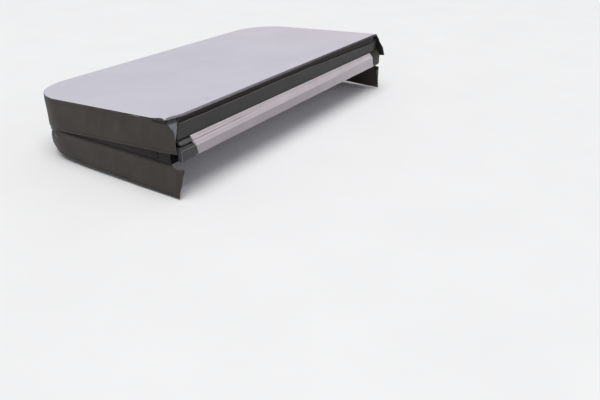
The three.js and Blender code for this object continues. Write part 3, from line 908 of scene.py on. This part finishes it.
def flap_cuff_grid():
    end_x = WALL_X + FLAP_CUFF_PAST
    path, run = round_path(end_x)
    along = np.minimum(run, run[-1] - run)[:, None]
    near_side = path[:, 1, None] < 0
    x, t = path[:, 0, None], skirt_rows()
    near_corner, far_corner = corner_runs(end_x, run[-1])
    place = spots(run[:, None], t * 0.15)
    free = smooth(0.1, 0.9, t)
    droop = eased(along, (0.0, 153 * MM), (0.1, 158 * MM), (0.48, 162 * MM), (0.8, 167 * MM))
    droop = droop + 12 * MM * smooth(0.75, 1.0, along)
    for corner in (near_corner + 0.05, far_corner - 0.05):
        droop = droop + 32 * MM * bump(corner, 0.22, run[:, None])
    droop = droop - 8 * MM * bump(run[-1] / 2, 0.6, run[:, None])
    z = 1 * MM + t * droop - corner_lift(x, path[:, 1, None]) * smooth(0.5, 0.0, t)
    out = 0.7 * MM + 2.0 * MM * smooth(0.0, 0.3, t) + 3.2 * MM * smooth(0.55, 1.0, t)
    out = out + 1.0 * MM * free * waves(place, 0.42, 5) + 0.5 * MM * free * waves(place, 0.12, 6)
    # Soft folds that run down from the sewn edge and away from the hinge
    lean = x + 0.10 * t
    folds = sum(height * MM * bump(centre, width, lean) for height, centre, width in FLAP_FOLDS)
    out = out + np.where(near_side, folds, 0.6 * folds) * bump(0.42, 0.55, t)
    curl = bump(near_corner, 0.3, run[:, None]) + bump(far_corner, 0.3, run[:, None])
    out = np.maximum(out, 3.2 * MM * smooth(0.02, 0.14, t))
    out = np.maximum(out - 9 * MM * curl * smooth(0.82, 1.0, t), 2.0 * MM * smooth(0.6, 0.8, t))
    # Clear of the fixed half's cuff beside the fold, and flared at the far end
    beside = smooth(0.17, 0.08, along)
    out = out * (1 - beside) + beside * (0.7 * MM + 4.6 * MM * smooth(0.0, 0.25, t))
    flare = 38 * MM * smooth(-0.1, 1.0, t) ** 1.2 * smooth(0.15, 0.0, along)
    out = out + np.where(near_side, 0, flare) + hem_step(t)
    grid = band(path, out, z)
    # The hinge ends are cut on a slant, from the sewn edge out to the hem
    start = WALL_X - 70 * MM
    for row in np.nonzero(along[:, 0] < end_x - start)[0]:
        share = (path[row, 0] - start) / (end_x - start)
        end = flap_cuff_end(z[row], not near_side[row, 0])
        grid[row, :, 0] = start + share * (end - start)
    return grid, run, t


def fixed_cuff_grid():
    end_x = WALL_X + 23.5 * MM
    path, run = round_path(end_x)
    along = np.minimum(run, run[-1] - run)[:, None]
    t = skirt_rows()
    near_corner, far_corner = corner_runs(end_x, run[-1])
    place = spots(run[:, None], t * 0.15)
    free = smooth(0.05, 0.7, t)
    tall = eased(along, (0.0, 163 * MM), (0.5, 153 * MM), (1.0, 133 * MM), (1.5, 148 * MM))
    z = -1.0 * MM - 4.5 * MM * smooth(0.006, 0.035, t) - t * tall
    out = MM * eased(t, (0.0, -14), (0.012, -3.5), (0.03, -0.5), (0.06, 2.6), (0.25, 1.2))
    out = out + 2.5 * MM * bump(0.6, 0.45, t)
    out = out + 1.6 * MM * free * waves(place, 0.38, 15) + 0.7 * MM * free * waves(place, 0.1, 16)
    corner = bump(near_corner, 0.34, run[:, None]) + bump(far_corner, 0.34, run[:, None])
    out = out + corner * MM * eased(t, (0.0, -4), (0.08, -13), (0.25, -9), (0.5, -2), (0.75, -3), (1.0, -16))
    pucker = bump(near_corner - 0.16, 0.05, run[:, None]) - bump(near_corner - 0.10, 0.045, run[:, None])
    out = out + 7 * MM * pucker * bump(0.2, 0.2, t)
    # Flat beside the fold, so that the other half's cuff passes it when the cover lies open
    beside = smooth(0.10, 0.055, along)
    flat = MM * (eased(t, (0.0, -14), (0.012, -3.5), (0.06, 1.2)) + bump(0.5, 0.4, t))
    out = out * (1 - beside) + beside * flat
    # Past the end of its wall the top edge hangs down and no longer turns in
    past = smooth(0.045, 0.015, along)
    out = out + past * 11 * MM * smooth(0.03, 0.0, t) + hem_step(t)
    z = z - past * 13 * MM * smooth(0.35, 0.0, t)
    return band(path, out, z), run, t


def cuff_return(edge, side, t):
    """The vinyl turns in under the pad in a soft quarter turn, deepest at the top."""
    radius, depth = 10 * MM, 35 * MM
    deep = depth * smooth(1.02, 0.0, t[0]) + 0.5 * MM
    droop = -22 * MM * smooth(0.45, 0.0, t[0])
    # The share of its droop that the vinyl has by the end of the quarter turn
    turned = 0.55
    rows = []
    for a in np.linspace(0, math.pi / 2, 6)[1:]:
        x = edge[:, 0] + radius * math.sin(a)
        y = edge[:, 1] - side * radius * (1 - math.cos(a)) * smooth(0.0, 0.4, deep / depth)
        rows.append(spots(x, y, edge[:, 2] + droop * turned * (1 - math.cos(a))))
    last = rows[-1]
    for share in (0.2, 0.45, 0.75, 1.0):
        x = last[:, 0] + 2.5 * MM * share * bump(0.3, 0.5, t[0])
        z = edge[:, 2] + droop * (turned + (1 - turned) * share)
        rows.append(spots(x, last[:, 1] - side * deep * share, z))
    return np.array(rows)


def fixed_cuff():
    grid, run, t = fixed_cuff_grid()
    near, far = cuff_return(grid[0], -1, t), cuff_return(grid[-1], 1, t)
    full = np.concatenate([near[::-1], grid, far])
    return sheet("fixed_skirt_cuff", full, SKIRT_VINYL, offset=1, levels=1), grid, run, t


SIDES = ("near", "near_corner", "outer", "far_corner", "far")
SEWN_ROWS = (0.03, HEM_AT)


def hem_lines(grid, t):
    """Stitch lines along a cuff at the sewn shares of its height, with their outward directions."""
    lines = []
    along = np.gradient(grid, axis=0)
    down = np.gradient(grid, axis=1)
    outward = np.cross(along, down)
    outward /= np.linalg.norm(outward, axis=2)[:, :, None]
    middle = np.array([MIDDLE_X, 0, 0])
    for share in SEWN_ROWS:
        j = int(np.argmin(np.abs(t[0] - share)))
        sign = np.sign(np.sum(outward[:, j] * (grid[:, j] - middle), axis=1))[:, None]
        out = outward[:, j] * sign
        lines.append((grid[:, j] + out * 0.3 * MM, out))
    return lines


def make_skirts():
    grid, run, t = flap_cuff_grid()
    flap = to_flap(sheet("flap_skirt_cuff", grid, SKIRT_VINYL, levels=1))
    finish_piece(flap, "flap_skirt", DARK_VINYL, "dark_vinyl", *["flap_skirt_" + s for s in SIDES])
    # The back of the cuff's far end is near black, painted shade that shows where that end flares open
    shade_sheet = to_flap(sheet("flap_skirt_shade_sheet", inner_layer(grid), 0.5 * MM))
    finish_piece(shade_sheet, "flap_skirt", SHADE_BLACK_VINYL, "dark_vinyl")
    sewing = stitches("flap_cuff_stitches", hem_lines(grid[6:-6], t), pitch=9 * MM, length=6 * MM)
    finish_piece(to_flap(sewing), "flap_skirt", THREAD, "webbing")

    fixed, grid, run, t = fixed_cuff()
    finish_piece(fixed, "fixed_half", DARK_VINYL, "dark_vinyl", *["fixed_skirt_" + s for s in SIDES])
    # Both ends of its cut turn in under the pad
    lines = [(line + out * SKIRT_VINYL, out) for line, out in hem_lines(grid[3:-3], t)]
    sewing = stitches("fixed_cuff_stitches", lines, pitch=9 * MM, length=6 * MM)
    finish_piece(sewing, "fixed_half", THREAD, "webbing")


def inner_layer(grid):
    """The same cuff a little inside itself and shorter, for a near-black sheet of painted shade inside its
    far end.
    """
    rows = grid[-14:, 2:-2].copy()
    rows[:, :, 1] -= SKIRT_VINYL + 0.7 * MM
    rows[:, :, 0] -= 1.5 * MM
    return rows


# ---- Padded pieces at the fold ----------------------------------------------------------------
SIM_FRAMES = 20
# The pad and its caps are cut on a slant where they meet
PAD_SLANT_NEAR, PAD_SLANT_FAR = 31 * MM, 48 * MM
PAD_NEAR = ends_at(PAD_LOW.y + 15 * MM, PAD_SLANT_NEAR)
PAD_FAR = ends_at(PAD_HIGH.y + 22 * MM, PAD_SLANT_FAR)
NEAR_JOINT = ends_at(PAD_LOW.y + 14 * MM, PAD_SLANT_NEAR)
FAR_JOINT = ends_at(PAD_HIGH.y + 23.5 * MM, PAD_SLANT_FAR)
PAD_PLACES = shares(PAD_HIGH.y - PAD_LOW.y, 0.01, 0.012, 0.003)
LOWER_LOBE_END = -SIDE_Y + 27 * MM


def puffed(obj, voxel, pressure, cap):
    """Fills a skin out as a stuffed piece does: cloth under pressure from inside, simulated on an even
    copy of the skin, whose movement, no more than cap anywhere, the fine skin then follows."""
    scene = bpy.context.scene
    copy = bpy.data.objects.new(obj.name + "_sim", obj.data.copy())
    scene.collection.objects.link(copy)
    remesh = copy.modifiers.new("voxels", "REMESH")
    remesh.mode = "VOXEL"
    remesh.voxel_size = voxel
    apply_modifiers(copy)
    start = np.array([v.co for v in copy.data.vertices])
    cloth = copy.modifiers.new("cloth", "CLOTH")
    settings = cloth.settings
    settings.quality = 5
    settings.mass = 0.3
    settings.tension_stiffness = settings.compression_stiffness = 15
    settings.bending_stiffness = 0.5
    settings.use_pressure = True
    settings.uniform_pressure_force = pressure
    settings.effector_weights.gravity = 0
    cloth.point_cache.frame_start = 1
    cloth.point_cache.frame_end = SIM_FRAMES
    for number in range(1, SIM_FRAMES + 1):
        scene.frame_set(number)
    graph = bpy.context.evaluated_depsgraph_get()
    moved = np.array([v.co for v in copy.evaluated_get(graph).data.vertices]) - start
    copy.modifiers.clear()
    bpy.data.objects.remove(copy)
    scene.frame_set(1)
    distance = np.linalg.norm(moved, axis=1)
    moved *= np.minimum(1, cap / np.maximum(distance, 1e-9))[:, None]
    tree = KDTree(len(start))
    for i, point in enumerate(start):
        tree.insert(point, i)
    tree.balance()

    def follow(points):
        shifted = points.copy()
        for k, point in enumerate(points):
            found = tree.find_n(point, 6)
            weights = np.array([1 / (away + 0.2 * voxel) for _, _, away in found])
            near = moved[[i for _, i, _ in found]]
            shifted[k] += (near * weights[:, None]).sum(0) / weights.sum()
        return shifted

    return reshape(obj, follow)


def reshape(obj, change):
    """change(points) moves an array of the mesh's points, for seams and creases."""
    points = np.array([v.co for v in obj.data.vertices])
    obj.data.vertices.foreach_set("co", change(points).astype(np.float32).ravel())
    obj.data.update()
    return obj


def pad_bend(y):
    """Height of the bend between the pad's flank and its face: it climbs to the far end."""
    return eased(y, (-SIDE_Y, PAD_BEND[0]), (0.0, PAD_BEND[1]), (SIDE_Y, PAD_BEND[2]))


def pad_crease(points):
    """The long crease pressed into the flank, from the near cap to about a quarter of the way."""
    x, y, z = points.T
    at = pad_bend(y) + 25 * MM
    deep = 0.8 * MM + 4.7 * MM * smooth(-0.25, -0.62, y)
    front = x > WALL_X + 20 * MM
    moved = points.copy()
    # A sharp valley with the skin below it rolled a little forward
    moved[:, 0] -= np.where(front, deep * bump(at, 3.2 * MM, z), 0)
    moved[:, 0] += np.where(front, 0.45 * deep * bump(at - 8 * MM, 8 * MM, z), 0)
    moved[:, 2] -= np.where(front, 0.3 * deep * bump(at, 3.2 * MM, z), 0)
    return moved


def heat_seal_pad():
    def section_at(y):
        bend = float(pad_bend(y)) / MM
        outline = wall_outline(
            [
                (1, 41, 1), (13, 41, 2), (14, 4, 2), (31, 2.5, 6), (37.5, 12, 6), (42.6, bend - 2, 2.5),
                (40.6, bend + 3, 2), (27.6, 102.2, 2), (1, 102.2, 1),
            ],
            240,
        )
        front = outline[:, 0] > WALL_X + 16 * MM
        puff = 0.7 * MM * waves(spots(y, outline[:, 1]), 0.25, 61)
        outline[:, 0] += np.where(front, puff, 0)
        return outline

    pad = loft("heat_seal_skin", along_y(section_at, PAD_PLACES, PAD_NEAR, PAD_FAR))
    puffed(pad, 5 * MM, 3.0, 3.0 * MM)
    return reshape(pad, pad_crease)


def pad_lip():
    """The sewn edge of the pad's skin, a flat lip that stands up against the fly."""
    outline = wall_outline(
        [
            (21.4, 100.5, 0.6), (27.0, 99.5, 0.8), (28.1, 101.2, 1),
            (26.2, 106.5, 2.5), (22.6, 111.2, 0.9), (21.6, 104, 0.8),
        ],
        60,
    )

    def section_at(y):
        section = outline.copy()
        section[:, 0] += 0.35 * MM * waves(spots(y, outline[:, 1]), 0.12, 62)
        return section

    return loft("heat_seal_lip", along_y(section_at, PAD_PLACES, PAD_NEAR, PAD_FAR))


def pillow(name, corners, low_end, high_end, seed):
    """A stuffed piece: an outline drawn along y that closes in softly at both ends."""
    outline = wall_outline(corners, 130)
    middle = outline.mean(0)
    low, high = low_end(middle[1]), high_end(middle[1])

    def section_at(y):
        near = min(y - low, high - y)
        draw = 1 - 0.12 * float(1 - smooth(0.0, 0.009, near))
        section = middle + (outline - middle) * draw
        section[:, 0] += 0.6 * MM * waves(spots(y, section[:, 1]), 0.035, seed)
        return section

    places = shares(float(high - low), 0.003, 0.009, 0.0012)
    piece = loft(name, along_y(section_at, places, low_end, high_end))
    return puffed(piece, 3 * MM, 2.0, 1.6 * MM)


def lobe_bead():
    """The welt round the near end of the lower lobe: along its bend, then down its end."""
    near = LOWER_LOBE_END
    along = [(42.6, 62.8, y) for y in np.linspace(NEAR_JOINT(63 * MM), near + 8 * MM, 26)]
    turn = [
        (42.6 + 0.6 * math.sin(a), 62.8 - 7 * (1 - math.cos(a)), near + 8 * MM * (1 - math.sin(a)))
        for a in np.linspace(0.15, math.pi / 2, 10)
    ]
    down = [(43.2 + 1.6 * math.sin(math.pi * t), 55.8 - 44 * t, near) for t in np.linspace(0.06, 1, 18)]
    points = [(WALL_X + x * MM, y, z * MM) for x, z, y in along + turn + down]
    return loft("near_cap_welt", rings(points, 1.9 * MM, 8, up=(1, 0, 0)))


UPPER_LOBE = [
    (2, 82, 2), (2, 101.5, 1), (21, 101.5, 1), (22.6, 103.0, 1.2), (27, 101.5, 2),
    (32.5, 87, 3), (29, 80.5, 2.5), (18, 78, 3),
]
LOWER_LOBE = [
    (2, 43, 1), (13.5, 43, 2), (14.5, 8, 3), (39, 5, 5), (45.5, 22, 8),
    (42.5, 63, 2.6), (29.5, 75.5, 2.5), (14, 71, 4), (2, 72, 2),
]
FAR_LOBE = [
    (2, 42, 1), (13.5, 42, 2), (14.5, 12, 3), (37, 9, 5), (43, 18, 5), (42, 80, 4),
    (26, 101.5, 2), (22.6, 103, 1), (21.5, 101.8, 0.3), (2, 101.8, 1),
]


def make_caps():
    upper_end, lower_end = ends_at(-SIDE_Y + 43 * MM), ends_at(LOWER_LOBE_END)
    far_end = ends_at(SIDE_Y - 24 * MM)
    for name, corners, low, high, material, node in (
        # The near lobes wear lighter copies for painted light, the far cap a darker copy for painted shade
        ("near_cap_upper_lobe", UPPER_LOBE, upper_end, NEAR_JOINT, LIT_CAP_VINYL, "heat_seal_cap_near"),
        ("near_cap_lower_lobe", LOWER_LOBE, lower_end, NEAR_JOINT, LIT_LOBE_VINYL, "heat_seal_cap_near"),
        ("far_cap", FAR_LOBE, FAR_JOINT, far_end, SHADED_FAR_CAP_VINYL, "heat_seal_cap_far"),
    ):
        cap = pillow(name, corners, low, high, seed=81)
        finish_piece(cap, "fixed_half", material, "dark_vinyl", node)
        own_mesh(cap)
    # The welt's pale vinyl is painted highlight
    bead = lobe_bead()
    finish_piece(bead, "fixed_half", HIGHLIT_WELT_VINYL, "dark_vinyl")
    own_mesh(bead)


def ridge_shift(y):
    """How far the fly's sewn ridge has moved from the liner's edge: most at the far end, with a wander."""
    drop = eased(y, (-0.8, 7 * MM), (0.0, 5 * MM), (0.5, 14 * MM), (0.95, 23 * MM))
    return drop + 0.8 * MM * waves(spots(y, 0.0), 0.3, 73)


def zip_fly():
    """The flap's fly: a narrow upper band, a sewn ridge and a flat face down to the fold."""
    outline = wall_outline(
        [
            (1, 41, 1), (11.6, 41, 1), (11.6, 6.4, 0.6), (13.4, 6.4, 0.8),
            (13.4, 20.5, 0.6), (17, 21.8, 0.8), (20.9, 21.0, 1.0), (21.6, 22.5, 1.0),
            (20.6, 24.5, 1.2), (20.2, 60, 20), (20.4, 100.6, 2), (1, 100.6, 1),
        ],
        150,
    )

    def section_at(y):
        section = outline.copy()
        z = outline[:, 1]
        front = outline[:, 0] > WALL_X + 13 * MM
        share = smooth(7 * MM, 17 * MM, z) * smooth(80 * MM, 27 * MM, z)
        section[:, 1] += np.where(front, float(ridge_shift(y)) * share, 0)
        face = smooth(26 * MM, 40 * MM, z) * smooth(99 * MM, 80 * MM, z) * front
        section[:, 0] -= face * (1.0 * MM + 0.5 * MM * waves(spots(y, z), 0.3, 71))
        return section

    places = shares(2 * SIDE_Y - 130 * MM, 0.012, 0.01, 0.0025)
    near = lambda z: -SIDE_Y + 55 * MM - 25 * MM * smooth(20 * MM, 101 * MM, z)
    fly = loft("flap_fly", along_y(section_at, places, near, ends_at(SIDE_Y - 80 * MM)))
    ys = np.linspace(-SIDE_Y + 58 * MM, SIDE_Y - 84 * MM, 240)
    rise = ridge_shift(ys)
    line = spots(WALL_X + 20.0 * MM, ys, 28.5 * MM + rise)
    sewing = stitches("flap_fly_stitches", [(line, [(1, 0, 0)] * len(ys))])
    bead = loft("flap_fly_bead", rings(spots(WALL_X + 21.2 * MM, ys, 22.3 * MM + rise), 1.3 * MM, 8))
    t = np.linspace(0, 1, 8)[None, :]
    tape = spots(WALL_X + 14.3 * MM + 0 * t, ys[:, None], 6.8 * MM + t * (13 * MM + rise[:, None]))
    tape = sheet("flap_zip_cover_tape", tape, 0.7 * MM)
    return [to_flap(piece) for piece in (fly, sewing, bead, tape)]


def gusset(side):
    """A pleat of vinyl that closes the end of the fly under the cuff."""
    far = side == "far"
    inner = -SIDE_Y + (78 * MM if far else 57 * MM)
    low = 35 * MM if far else 4.5 * MM
    u, v = np.linspace(0, 1, 40)[:, None], np.linspace(0, 1, 60)[None, :]
    z = low + v * (100 * MM - low)
    ends = inner - 25 * MM * smooth(20 * MM, 101 * MM, z) * (not far)
    y = (-SIDE_Y + 2.0 * MM) * (1 - u) + u * (ends - 1 * MM)
    x = WALL_X + 1.2 * MM + (4.5 + 7.5 * smooth(0.0, 0.2, v)) * MM * u
    x = x - 2.5 * MM * bump(0.62, 0.25, u) * smooth(0.1, 0.5, v)
    # Pleats sewn in from the liner's corner
    fan = 1.1 * MM * np.sin(2 * math.pi * 3.5 * np.sqrt(v)) * smooth(0.45, 0.05, v) * bump(0.5, 0.6, u)
    grid = spots(x + fan, y, z)
    if far:
        grid[:, :, 1] *= -1
    # The far pleat is near black: painted shade under the flared cuff
    material = SHADE_BLACK_VINYL if far else GUSSET_VINYL
    piece = to_flap(sheet("flap_gusset_pleat_" + side, grid if far else grid[::-1], 1.0 * MM))
    finish_piece(piece, "flap_half", material, "dark_vinyl", "flap_gusset_" + side)


def fold_strip(name):
    """One leg of the doubled vinyl between the halves, from the top panel's edge to the fold."""
    top = HINGE_TOP + 0.4 * MM
    outline = rounded(
        [
            (WALL_X - 1 * MM, top - 1.6 * MM, 0.5 * MM),
            (FOLD_AT.x - 0.1 * MM, top - 1.5 * MM, 0.5 * MM),
            (FOLD_AT.x - 0.1 * MM, top, 0.5 * MM),
            (WALL_X - 1 * MM, top, 0.5 * MM),
        ],
        44,
    )
    end = SIDE_Y - 1 * MM
    return loft(name, along_y(lambda y: outline, stations(0, 1, 0.015), ends_at(-end), ends_at(end)))


def make_fold():
    pad = heat_seal_pad()
    finish_piece(pad, "fixed_half", PAD_VINYL, "pad_vinyl", "heat_seal_pad")
    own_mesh(pad)
    lip = pad_lip()
    finish_piece(lip, "fixed_half", PAD_VINYL, "pad_vinyl")
    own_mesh(lip)
    make_caps()

    looks = (
        (FLY_VINYL, "dark_vinyl", "flap_zip_fly"),
        (THREAD, "webbing"),
        # Ridge bead in pale vinyl: painted highlight
        (HIGHLIT_BEAD_VINYL, "dark_vinyl"),
        # The zip cover tape wears the darker copy: painted shade in the recess under the hem
        (SHADED_WALL_VINYL, "zip_tape"),
    )
    for piece, look in zip(zip_fly(), looks):
        finish_piece(piece, "flap_half", *look)
        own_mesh(piece)
    gusset("near")
    gusset("far")
    for (half, move), leg in zip(HALVES, ("lower", "upper")):
        strip = move(fold_strip("fold_strip_" + leg))
        finish_piece(strip, half + "_half", DARK_VINYL, "dark_vinyl", "fold_strip")


# ---- Handles and eyelets ----------------------------------------------------------------------
def handle(name, half):
    low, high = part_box(name)
    middle = (low + high) / 2
    thickness = 2.6 * MM
    grip = high.y - 38 * MM
    bow = (high.x - low.x) - thickness
    ys = [np.linspace(-high.y, -grip, 8), np.linspace(-grip, grip, 60), np.linspace(grip, high.y, 8)]
    ys = np.unique(np.concatenate(ys))
    share = np.minimum(np.abs(ys) / grip, 1)
    x = high.x - thickness / 2 - bow * np.cos(share**2 * math.pi / 2) ** 2
    tangent = np.gradient(np.column_stack([x, ys]), axis=0)
    tangent /= np.linalg.norm(tangent, axis=1)[:, None]
    half_height, edge = (high.z - low.z) / 2, thickness / 2
    around = ((-1, -1), (1, -1), (1, 1), (-1, 1))
    section = rounded([(across * edge, up * half_height, edge) for across, up in around], 28)
    made = []
    for px, py, (tx, ty) in zip(x, ys, tangent):
        made.append(spots(px + ty * section[:, 0], py - tx * section[:, 0], middle.z + section[:, 1]))
    piece = loft(name + "_strap", np.array(made))
    finish_piece(piece, half, WEBBING, "webbing", name)
    # Sewn boxes with a cross in each end of the strap
    lines = []
    face = high.x - thickness
    reach = half_height - 4 * MM
    for sign in (-1, 1):
        centre = sign * (high.y - 19 * MM)
        box = [(-1, -1), (1, -1), (1, 1), (-1, 1), (-1, -1), (1, 1), (1, -1), (-1, 1)]
        for (a, b), (c, d) in zip(box, box[1:]):
            ends = [(face, centre + p * reach, middle.z + q * reach) for p, q in ((a, b), (c, d))]
            lines.append((ends, [(-1, 0, 0)] * 2))
    sewing = stitches(name + "_stitches", lines, pitch=4 * MM, length=3 * MM)
    finish_piece(sewing, half, THREAD, "webbing")


def patch_pad(name, half):
    """The square of vinyl under each end of a handle, its edge turned under and sewn."""
    low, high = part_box(name)
    u = np.linspace(-1, 1, 30)
    middle, reach = (low + high) / 2, (high - low) / 2
    y, z = np.meshgrid(middle.y + u * reach.y, middle.z + u * reach.z, indexing="ij")
    rim = np.minimum(np.minimum(y - low.y, high.y - y), np.minimum(z - low.z, high.z - z))
    x = low.x + rolled(rim, 1.2 * MM) * 0.8 + 0.6 * MM * bump(4 * MM, 1.5 * MM, rim)
    piece = sheet(name + "_square", spots(x, y, z)[::-1], (high.x - low.x) * 0.7)
    finish_piece(piece, half, DARK_VINYL, "dark_vinyl", name)


def make_handles():
    for half, body in (("fixed", "fixed_half"), ("flap", "flap_skirt")):
        handle(half + "_handle", body)
        for side in ("near", "far"):
            patch_pad(half + "_handle_patch_" + side, body)


def make_eyelets():
    """Drain eyelets in the liners: a turned ring with a rounded lip."""
    rounds, around = 48, 28
    for half, up in (("fixed", -1), ("flap", 1)):
        for side in ("near", "far"):
            name = half + "_drain_grommet_" + side
            low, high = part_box(name)
            centre = (low + high) / 2
            radius = (high.y - low.y) / 2
            surface = high.z if up > 0 else low.z
            hole, foot = radius * 0.5, -1.0 * MM
            corners = [(hole, foot, 0.4), (hole, 0.7 * MM, 0.5), (radius, 0.6 * MM, 0.5), (radius, foot, 0.4)]
            profile = rounded([(x, z, r * MM) for x, z, r in corners], around)
            turns = np.linspace(0, 2 * math.pi, rounds, endpoint=False)[:, None]
            x, z = centre.x + profile[:, 0] * np.cos(turns), surface + up * profile[:, 1] + 0 * turns
            points = spots(x, centre.y + profile[:, 0] * np.sin(turns), z)
            faces = grid_faces(rounds + 1, around, wrap=True)
            faces = [tuple(k % (rounds * around) for k in f) for f in faces]
            ring = new_object(name + "_ring", points, faces if up > 0 else [f[::-1] for f in faces])
            finish_piece(ring, half + "_half", EYELET, "grommet", name)


# ---- CAD pieces that keep their shape ---------------------------------------------------------
CAD_LOOKS = {
    "foam_core": FOAM,
    "vapour_wrap": FILM,
    "steel_channel": STEEL,
    # The hinge wall wears the near-black gap vinyl: painted shade
    "hinge_wall": GAP_VINYL,
    "zip_tape": ZIP_WEAVE,
    "zip_slider": SLIDER_METAL,
    "zip_pull": SLIDER_METAL,
    "grommet": EYELET,
    "handle_patch": DARK_VINYL,
    "handle": WEBBING,
}


def dress_cad_nodes():
    for name, obj in frame["nodes"].items():
        look = next((m for word, m in CAD_LOOKS.items() if word in name), DARK_VINYL)
        wear(obj, look)


# ---- Camera, floor and lights -----------------------------------------------------------------
def make_camera():
    camera = bpy.data.objects.new("camera", bpy.data.cameras.new("camera"))
    bpy.context.scene.collection.objects.link(camera)
    camera.data.lens = 36.12
    camera.location = (2.3523, -2.8579, 1.1409)
    camera.rotation_euler = [math.radians(a) for a in (62.269, -0.480, 32.427)]
    bpy.context.scene.camera = camera


def make_studio():
    size = 60.0
    floor = new_object(
        "floor",
        [(-size, -size, 0), (size, -size, 0), (size, size, 0), (-size, size, 0)],
        [(0, 1, 2, 3)],
    )
    floor.location.z = SKIRT_LOW - 15 * MM
    floor.data.materials.append(FLOOR)
    world = bpy.data.worlds.new("studio")
    world.use_nodes = True
    world.node_tree.nodes["Background"].inputs["Color"].default_value = (0.98, 0.985, 1.0, 1)
    world.node_tree.nodes["Background"].inputs["Strength"].default_value = 0.34
    bpy.context.scene.world = world
    sun = bpy.data.lights.new("soft_box", "SUN")
    sun.energy = 2.1
    sun.angle = math.radians(50)
    lamp = bpy.data.objects.new("soft_box", sun)
    lamp.rotation_euler = Vector((-0.3, 0.5, -2.6)).to_track_quat("-Z", "Y").to_euler()
    bpy.context.scene.collection.objects.link(lamp)
    bpy.context.scene.view_settings.view_transform = "Standard"


make_camera()
make_studio()
dress_cad_nodes()
make_liners()
make_jackets()
make_patches()
make_skirts()
make_fold()
make_handles()
make_eyelets()
